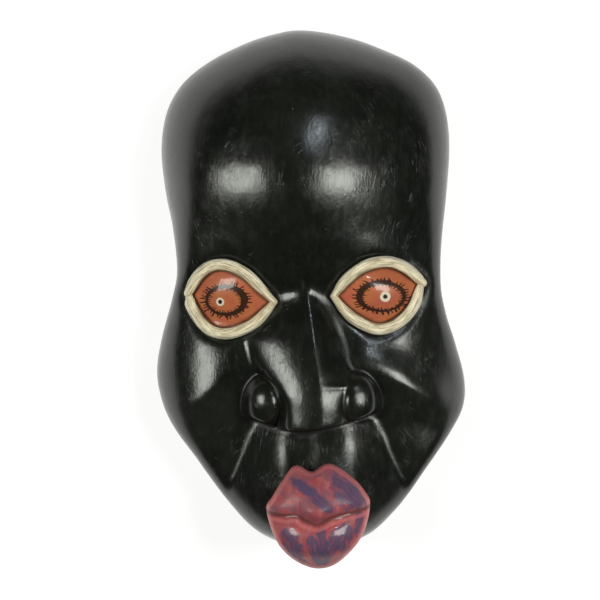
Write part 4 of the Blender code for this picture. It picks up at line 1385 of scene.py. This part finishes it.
@dataclass(frozen=True)
class Eye:
    """An eye: a groove round it, an eyeball, and two lids that meet in its corners."""

    upper: Line
    lower: Line
    ball_middle: Place
    ring_middle: Place
    ring_size: Place
    pupil_middle: Place
    ring_turn: float = 0.0
    line_width: float = 2.7
    line_heavier: float = 1.0
    heavy_side: float = 0.0
    strokes: float = 34.0
    outward: float = 3.2
    inward: float = 2.0
    seed: float = 1.0
    pupil_white: float = 2.6
    pupil_dark: float = 1.3
    lid_width: float = 7.6
    lid_end_width: float = 4.4
    lid_rise: float = 4.4
    lid_overlap: float = 1.0
    lid_start: tuple[float, float] = (0.0, 0.25)
    lid_close: tuple[float, float] = (0.9, 1.05)
    overlap_run: tuple[float, float] = (0.6, 1.0)
    groove_start: float = 0.3
    groove_width: float = 3.8
    groove_depth: float = 1.3
    ball_half: Place = (30.0, 15.0)
    ball_bulge: float = 5.0
    ball_recess: float = 1.6
    ball_lowest: float = -2.9
    ball_depth: float = 6.0
    bed_share: float = 0.5
    ball_round: float = 3.0
    shell_round: float = 1.0
    tuck: float = 1.5
    far: float = 12.0

    @cached_property
    def loop(self) -> Line:
        """Return the loop that the middle lines of both lids make."""
        return Line((*self.upper.points, *self.lower.points[-2:0:-1]), closed=True)

    def inset(self, x: Array, y: Array) -> Array:
        """Return how far places are inside the loop."""
        return -self.loop.outside(x, y)

    def sink(self, x: Array, y: Array, face: Array) -> Array:
        """Return the face's distances with the groove and the eye's bed taken out."""
        result = face.copy()
        near = self.loop.is_near(x, y)
        inset = self.inset(x[near], y[near])
        away = np.maximum(-inset - self.groove_start * self.lid_width, 0.0) / self.groove_width
        result[near] += self.groove_depth * np.exp(-(away**2)) * soft_step(-inset, -1.0, 1.0)
        bed = self.bed_share * self.ball_depth
        result[near] += bed * soft_step(inset, 0.0, self.lid_width / 2.0)
        return result

    def ball(self, x: Array, y: Array, face: Array) -> Array:
        """Return how far places are outside the eyeball, which lies between the lids."""
        result = np.full(x.shape, self.far)
        near = self.loop.is_near(x, y)
        inset = self.inset(x[near], y[near])
        middle = BLOCK.measured(self.ball_middle)
        aside = (x[near] - middle[0]) / self.ball_half[0]
        above = (y[near] - middle[1]) / self.ball_half[1]
        bulge = self.ball_bulge * (1.0 - aside**2 - above**2) - self.ball_recess
        bulge = smooth_max(bulge, np.full(bulge.shape, self.ball_lowest), self.ball_round)
        shell = smooth_max(face[near] - bulge, -self.ball_depth - face[near], self.shell_round)
        result[near] = smooth_max(shell, -inset - self.tuck, self.shell_round)
        return result

    def lid(self, line: Line, overlap: float, x: Array, y: Array, face: Array) -> Array:
        """Return how far places are outside a lid.

        Args:
            line: The lid's middle line.
            overlap: How much higher the lid is near its outer end.
            x: The places' positions to the right, in millimetres.
            y: Their positions towards the crown.
            face: How far they are outside the face.

        Returns:
            The distances in millimetres.
        """
        result = np.full(x.shape, self.far)
        near = line.is_near(x, y)
        distance, along = line.distance(x[near], y[near])
        full = soft_step(along, *self.lid_start) * (1.0 - soft_step(along, *self.lid_close))
        half = 0.5 * (self.lid_end_width + (self.lid_width - self.lid_end_width) * full)
        rise = self.lid_rise + overlap * soft_step(along, *self.overlap_run)
        result[near] = (np.hypot(distance / half, face[near] / rise) - 1.0) * half
        return result

    def ring(self, placement: Placement) -> dict[str, Input]:
        """Return what the lash ring's shader needs."""
        return {
            "Middle": placement.on_face(*self.ring_middle),
            "Turn": self.ring_turn,
            "Size": (self.ring_size[0] * MM, self.ring_size[1] * MM, 1.0),
            "Line": self.line_width * MM,
            "Heavier": self.line_heavier * MM,
            "Heavy Side": self.heavy_side,
            "Strokes": self.strokes,
            "Outward": self.outward * MM,
            "Inward": self.inward * MM,
            "Seed": self.seed,
        }

    def pupil(self, placement: Placement) -> tuple[Triple, float, float]:
        """Return the pupil's middle and the radii of its white and its dark spot."""
        return placement.on_face(*self.pupil_middle), self.pupil_white * MM, self.pupil_dark * MM


@dataclass(frozen=True)
class Lips:
    """The lips, which stand out past the chin."""

    loop: Line = Line((
        (-0.283, -0.768), (-0.249, -0.735), (-0.183, -0.674), (-0.103, -0.618), (0.003, -0.640),
        (0.114, -0.611), (0.263, -0.665), (0.344, -0.721), (0.368, -0.760), (0.335, -0.846),
        (0.273, -0.907), (0.155, -0.975), (0.046, -0.994), (-0.053, -0.979), (-0.140, -0.945),
        (-0.211, -0.896), (-0.264, -0.824),
    ), closed=True)
    mouth: Line = Line((
        (-0.30, -0.780), (-0.257, -0.786), (-0.177, -0.793), (-0.095, -0.791), (-0.053, -0.806),
        (0.015, -0.823), (0.052, -0.821), (0.108, -0.803), (0.200, -0.788), (0.296, -0.776),
        (0.38, -0.760),
    ))
    spine: Profile = Profile((
        (-1.05, 0.660), (-0.97, 0.800), (-0.92, 0.882), (-0.87, 0.912), (-0.82, 0.910),
        (-0.77, 0.924), (-0.70, 0.882), (-0.62, 0.795), (-0.55, 0.74),
    ))
    middle: float = 0.03
    fall: float = 1.15
    undercut: float = 0.80
    undercut_height: float = 0.66
    roll: float = 13.0
    step: float = 6.0
    mouth_width: float = 8.0
    mouth_depth: float = 4.0
    shapes: tuple[Mound, ...] = (
        Mound((0.035, -0.770), 1.8, (0.090, 0.045)),
        Mound((-0.120, -0.755), -2.2, (0.070, 0.030)),
        Mound((0.165, -0.757), -1.4, (0.055, 0.026)),
    )
    flatten: float = 0.9
    blend: float = 3.2
    root: float = 46.0
    far: float = 12.0
    dabs: tuple[tuple[Place, float, Place], ...] = (
        ((-0.005, -0.640), 0.25, (7.0, 2.2)),
        ((-0.055, -0.690), 0.62, (10.0, 2.6)),
        ((0.030, -0.727), 0.70, (15.0, 3.4)),
        ((0.225, -0.707), 0.80, (13.0, 8.5)),
        ((-0.115, -0.905), 1.25, (13.0, 6.0)),
        ((0.015, -0.915), 1.25, (11.0, 3.4)),
        ((0.064, -0.893), 1.45, (11.0, 3.6)),
        ((0.115, -0.905), -1.15, (12.0, 4.2)),
        ((0.205, -0.865), -1.25, (10.0, 5.0)),
        ((0.290, -0.820), -1.35, (8.0, 2.6)),
    )

    def distance(self, x: Array, y: Array, z: Array) -> Array:
        """Return how far places are outside the lips."""
        result = np.full(x.shape, self.far)
        near = self.loop.is_near(x, y)
        x, y, z = x[near], y[near], z[near]
        across = BLOCK.across(x)
        up = BLOCK.up(y)
        outline = self.loop.outside(x, y)
        top = (self.spine.read(up) - self.fall * (across - self.middle) ** 2) * BLOCK.depth
        inset = np.clip(-outline / self.roll, 0.0, 1.0)
        top -= self.step * (1.0 - np.sqrt(1.0 - (1.0 - inset) ** 2))
        top -= self.mouth_depth * self.mouth.ridge(x, y, self.mouth_width)
        for shape in self.shapes:
            top += shape.height(across, up)
        side = outline + self.undercut * np.maximum(self.undercut_height * BLOCK.depth - z, 0.0)
        result[near] = smooth_max(self.flatten * (z - top), side, self.blend)
        return result

    def solid(self, x: Array, y: Array, z: Array) -> Array:
        """Return the distances of the lips, cut off inside the chin."""
        return np.maximum(self.distance(x, y, z), self.root - z)

    def lines(self, vertices: Array) -> Array:
        """Return how far vertices are inside the lips' outline and above the mouth's line."""
        x, y, _ = vertices.T
        inset = -self.loop.outside(x, y)
        away, _ = self.mouth.distance(x, y)
        level = np.interp(x, self.mouth.curve[:, 0], self.mouth.curve[:, 1])
        return np.stack([inset, away * np.sign(y - level), np.zeros(x.shape)], axis=1)

    def paint(self, placement: Placement) -> LipPaint:
        """Return the lips' finish, with its dabs in place."""
        dabs = tuple(
            (placement.on_face(*middle), turn, (size[0] * MM, size[1] * MM, 1.0))
            for middle, turn, size in self.dabs
        )
        return LipPaint(dabs=dabs)


LEFT_EYE = Eye(
    upper=Line((
        (-0.236, -0.022), (-0.318, 0.026), (-0.413, 0.079), (-0.526, 0.111), (-0.633, 0.109),
        (-0.716, 0.074), (-0.785, 0.010),
    )),
    lower=Line((
        (-0.236, -0.022), (-0.290, -0.060), (-0.372, -0.104), (-0.507, -0.136),
        (-0.615, -0.132), (-0.697, -0.098), (-0.760, -0.040), (-0.775, -0.008),
    )),
    ball_middle=(-0.450, 0.008),
    ring_middle=(-0.543, -0.017),
    ring_size=(12.0, 8.7),
    heavy_side=0.2,
    pupil_middle=(-0.577, -0.022),
)
RIGHT_EYE = Eye(
    upper=Line((
        (0.140, -0.002), (0.187, 0.037), (0.256, 0.077), (0.351, 0.112), (0.458, 0.125),
        (0.541, 0.118), (0.623, 0.094), (0.712, 0.048),
    )),
    lower=Line((
        (0.140, -0.002), (0.212, -0.055), (0.301, -0.095), (0.402, -0.121), (0.496, -0.115),
        (0.585, -0.084), (0.654, -0.033), (0.692, 0.030),
    )),
    ball_middle=(0.407, 0.014),
    ring_middle=(0.446, -0.003),
    ring_size=(14.2, 8.9),
    heavy_side=2.2,
    seed=51.0,
    pupil_middle=(0.467, -0.003),
    pupil_white=3.3,
    pupil_dark=1.4,
)


@dataclass(frozen=True)
class Waves:
    """Waves that sway as they run, crossed by others, with turns in radians a millimetre."""

    turn: float
    sway: float
    sway_turn: float
    sway_start: float
    cross_turn: float
    cross_start: float

    def read(self, along: Array, across: Array) -> Array:
        """Return the waves' heights, from -1 to 1."""
        sway = self.sway * np.sin(self.sway_turn * across + self.sway_start)
        crossed = np.sin(self.cross_turn * across + self.cross_start)
        return np.sin(self.turn * along + sway) * crossed


@dataclass(frozen=True)
class Head:
    """The whole face: sides, front, nose, eyes and lips, and the hollow behind it."""

    outline: Outline = Outline()
    front: Front = Front()
    nose: Nose = Nose()
    hollow: Hollow = Hollow()
    eyes: tuple[Eye, ...] = (LEFT_EYE, RIGHT_EYE)
    lips: Lips = Lips()
    edge_blend: Profile = Profile((
        (-1.15, 12.0), (-0.62, 12.0), (-0.45, 15.0), (-0.25, 18.0), (0.00, 14.0),
        (0.20, 18.0), (0.50, 36.0), (1.15, 40.0),
    ))
    right_sharper: float = 0.45
    flatten: float = 0.92
    nose_blend: Profile = Profile((
        (0.0, 1.6), (10.0, 1.6), (22.0, 1.8), (40.0, 3.0), (60.0, 2.6), (80.0, 3.0),
        (95.0, 8.0), (120.0, 16.0),
    ))
    philtrum_middle: float = -0.025
    philtrum_rise: Place = (-0.70, -0.64)
    philtrum_width: float = 16.0
    philtrum_depth: float = 1.7
    rim_round: float = 1.4
    ripple: float = 0.05
    waves: tuple[Waves, Waves] = (
        Waves(0.17, 1.9, 0.083, 0.0, 0.14, 0.7),
        Waves(0.21, 1.7, 0.091, 1.0, 0.19, -0.4),
    )

    def face(self, x: Array, y: Array, z: Array) -> Array:
        """Return how far places are outside the face without its features."""
        front = self.flatten * (z - self.front.height(x, y))
        blend = self.edge_blend.read(BLOCK.up(y))
        blend *= 1.0 - self.right_sharper * soft_step(BLOCK.across(x), 0.2, 0.8)
        return smooth_max(front, self.outline.distance(x, y, z), blend)

    def ripples(self, x: Array, y: Array) -> Array:
        """Return the slight unevenness that hand work leaves, in millimetres."""
        first, second = self.waves
        return self.ripple * (first.read(x, y) + second.read(y, x))

    def outside(self, x: Array, y: Array, z: Array) -> Array:
        """Return how far places are outside the painted surface, without lids, eyes and lips."""
        form = self.face(x, y, z)
        for eye in self.eyes:
            form = eye.sink(x, y, form)
        above = self.nose.above_foot(x, y)
        blend = self.nose_blend.read(above)
        form = smooth_min(form, self.nose.distance(x, y, z), blend)
        aside = x - self.philtrum_middle * BLOCK.width / 2.0
        groove = np.exp(-((2.0 * aside / self.philtrum_width) ** 2))
        groove *= soft_step(-above, -self.nose.foot_blend, 2.0 * self.nose.foot_blend)
        groove *= soft_step(BLOCK.up(y), *self.philtrum_rise)
        return form + self.philtrum_depth * groove + self.ripples(x, y)

    def solid(self, x: Array, y: Array, z: Array) -> Array:
        """Return how far places are outside the wood, sawn flat and hollowed behind."""
        hollow = self.hollow.distance(x, y, z, self.outline, self.front)
        form = smooth_max(self.outside(x, y, z), -hollow, self.rim_round)
        return smooth_max(form, -z, self.rim_round)


class Detail(Enum):
    """How finely the forms are carved: the cell of the wood and of the small pieces."""

    TRIAL = (1.8, 0.9)
    FULL = (1.0, 0.55)


@dataclass
class Mask:
    """The mask's pieces, carved from its forms and dressed."""

    head: Head = field(default_factory=Head)
    detail: Detail = Detail.FULL
    wood_faces: int = 185000
    wood_low: Triple = (-0.51, -0.50, 0.0)
    wood_high: Triple = (0.51, 0.51, 1.0)
    eye_heights: tuple[float, float] = (20.0, 80.0)
    lid_apart: float = 90.0

    def box(self, line: Line, low: float, high: float) -> tuple[Array, Array]:
        """Return the corners of a box round a line, between two heights."""
        margin = self.head.eyes[0].lid_width
        start = np.append(line.curve.min(axis=0) - margin, low)
        end = np.append(line.curve.max(axis=0) + margin, high)
        return start, end

    def carve_wood(self) -> Piece:
        """Carve the face with its hollow."""
        sides = (BLOCK.width, BLOCK.height, BLOCK.depth)
        low = tuple(share * side for share, side in zip(self.wood_low, sides))
        high = tuple(share * side for share, side in zip(self.wood_high, sides))
        vertices, faces = Carver(self.detail.value[0]).carve(self.head.solid, low, high)
        return Piece("face", vertices, faces, self.wood_faces)

    def carve_lids(self) -> tuple[Piece, Array]:
        """Carve the four lids, and measure how places on them lie along and across each."""
        carver = Carver(self.detail.value[1])
        vertices, faces, runs = [], [], []
        count = 0
        for number, eye in enumerate(self.head.eyes):
            for index, (line, overlap) in enumerate(((eye.lower, 0.0), (eye.upper, eye.lid_overlap))):
                def form(x: Array, y: Array, z: Array) -> Array:
                    """Return how far places are outside this lid."""
                    return eye.lid(line, overlap, x, y, self.head.face(x, y, z))

                places, net = carver.carve(form, *self.box(line, *self.eye_heights))
                x, y, z = places.T
                away, along = line.distance(x, y)
                outward = np.sign(eye.loop.outside(x, y))
                level = self.head.face(x, y, z)
                length = np.linalg.norm(np.diff(line.curve, axis=0), axis=1).sum()
                start = self.lid_apart * (2 * number + index)
                run = np.stack([start + along * length, away * outward, level], axis=1)
                vertices.append(places)
                faces.append(net + count)
                runs.append(run)
                count += len(places)
        return Piece("lids", np.vstack(vertices), np.vstack(faces)), np.vstack(runs)

    def carve_balls(self) -> tuple[Piece, Array]:
        """Carve both eyeballs, and measure how far in from the lids places on them are."""
        carver = Carver(self.detail.value[1])
        vertices, faces, insets = [], [], []
        count = 0
        for eye in self.head.eyes:
            def form(x: Array, y: Array, z: Array) -> Array:
                """Return how far places are outside this eyeball."""
                return eye.ball(x, y, self.head.face(x, y, z))

            places, net = carver.carve(form, *self.box(eye.loop, *self.eye_heights))
            vertices.append(places)
            faces.append(net + count)
            insets.append(eye.inset(places[:, 0], places[:, 1]))
            count += len(places)
        return Piece("eyeballs", np.vstack(vertices), np.vstack(faces)), np.concatenate(insets)

    def carve_lips(self) -> Piece:
        """Carve the lips."""
        lips = self.head.lips
        vertices, faces = Carver(self.detail.value[1]).carve(
            lips.solid, *self.box(lips.loop, lips.root, BLOCK.depth)
        )
        return Piece("lips", vertices, faces)

    def build(self, box: tuple[Vector, Vector]) -> None:
        """Carve, place and dress every piece inside a box."""
        wood = self.carve_wood()
        lids, runs = self.carve_lids()
        balls, insets = self.carve_balls()
        lips = self.carve_lips()
        placement = Placement.within(np.vstack([wood.vertices, lips.vertices]), box)
        kept = wood.build(placement)
        wood.measure("depth_below", -self.head.outside(*kept.T))
        wood.measure("recess", wood.recess())
        wood.dress(BlackLacquer().material())
        lids.build(placement)
        lids.measure("lid_run", runs)
        lids.dress(LidPaint().material())
        balls.build(placement)
        balls.measure("inset", insets)
        eyes = self.head.eyes
        rings = tuple(eye.ring(placement) for eye in eyes)
        pupils = tuple(eye.pupil(placement) for eye in eyes)
        balls.dress(EyePaint(rings=rings, pupils=pupils).material())
        kept = lips.build(placement)
        lips.measure("lip_lines", self.head.lips.lines(kept))
        lips.dress(self.head.lips.paint(placement).material())


@dataclass(frozen=True)
class Floor(Finish):
    """The pale floor of the studio."""

    name: str = "Pale floor"
    white: Colour = (0.34, 0.34, 0.34)
    uneven: float = 0.98
    clouds: Grain = Grain(EVEN, 3.0)
    rough: float = 0.6
    lit: Colour = (1.0, 1.0, 1.0)
    unlit: Colour = (0.0, 0.0, 0.0)
    glow: float = 0.78
    fade: tuple[float, float] = (0.28, 0.46)
    far_share: float = 0.10
    half: float = 4.0
    below: float = 0.0002

    def paint(self, graph: Graph, shader: bpy.types.Node) -> None:
        """Make the floor white, a little uneven and lit from within."""
        clouds = self.clouds.read(graph, graph.place())
        grey = tuple(self.uneven * part for part in self.white)
        graph.feed(shader.inputs["Base Color"], graph.mix(clouds, self.white, grey))
        away = graph.vector("LENGTH", graph.place())
        fade = graph.step(away, *self.fade, 1.0, self.far_share)
        graph.feed(shader.inputs["Emission Color"], graph.mix(fade, self.unlit, self.lit))
        shader.inputs["Emission Strength"].default_value = self.glow
        shader.inputs["Roughness"].default_value = self.rough

    def build(self) -> None:
        """Lay the floor under the mask."""
        mesh = bpy.data.meshes.new("floor")
        half = self.half
        corners = [(-half, -half, 0.0), (half, -half, 0.0), (half, half, 0.0), (-half, half, 0.0)]
        mesh.from_pydata(corners, [], [(0, 1, 2, 3)])
        mesh.materials.append(self.material())
        item = bpy.data.objects.new("floor", mesh)
        item.location.z = -self.below
        bpy.context.scene.collection.objects.link(item)
        log.info("floor: %.0f m wide", 2.0 * half)


@dataclass(frozen=True)
class Lamp:
    """A flat lamp that faces the mask."""

    name: str
    place: Triple
    size: tuple[float, float]
    power: float
    colour: Colour
    target: Triple = (0.0, 0.0, 0.05)

    def build(self) -> None:
        """Hang the lamp."""
        light = bpy.data.lights.new(self.name, "AREA")
        light.shape = "RECTANGLE"
        light.size, light.size_y = self.size
        light.energy = self.power
        light.color = self.colour
        item = bpy.data.objects.new(self.name, light)
        item.location = self.place
        aim = Vector(self.target) - Vector(self.place)
        item.rotation_euler = aim.to_track_quat("-Z", "Y").to_euler()
        bpy.context.scene.collection.objects.link(item)
        log.info("%s: %.1f W", self.name, self.power)


@dataclass(frozen=True)
class Studio:
    """Floor, lights and camera."""

    lamps: tuple[Lamp, ...] = (
        Lamp("left softbox", (-1.0, 0.0, 1.25), (0.6, 0.6), 14.0, (0.97, 1.0, 0.92)),
        Lamp("right softbox", (1.0, 0.0, 1.25), (0.6, 0.6), 16.0, (0.97, 1.0, 0.92)),
        Lamp("far lamp", (0.78, 0.9, 1.55), (0.12, 0.12), 2.6, (0.82, 0.92, 1.0)),
    )
    dim: float = 0.03
    camera_place: Triple = (-0.00717, -0.0042, 1.5)
    field_width: float = 0.390
    sensor: float = 36.0

    def build(self) -> None:
        """Set up the floor, the lights and the camera over the mask."""
        scene = bpy.context.scene
        Floor().build()
        for lamp in self.lamps:
            lamp.build()
        world = bpy.data.worlds.new("studio")
        world.use_nodes = True
        background = world.node_tree.nodes["Background"]
        background.inputs["Color"].default_value = (*EVEN, 1.0)
        background.inputs["Strength"].default_value = self.dim
        scene.world = world
        camera = bpy.data.cameras.new("camera")
        camera.sensor_width = self.sensor
        camera.lens = self.sensor * self.camera_place[2] / self.field_width
        item = bpy.data.objects.new("camera", camera)
        item.location = self.camera_place
        scene.collection.objects.link(item)
        scene.camera = item
        scene.view_settings.view_transform = "Standard"
        log.info("camera: %.1f mm lens, %.2f m up", camera.lens, self.camera_place[2])


def main() -> None:
    """Build the mask and the studio round it."""
    logging.basicConfig(level=logging.INFO, format="%(name)s: %(message)s")
    detail = Detail.FULL
    Mask(detail=detail).build(cad_box)
    Studio().build()


if __name__ == "__main__":
    main()
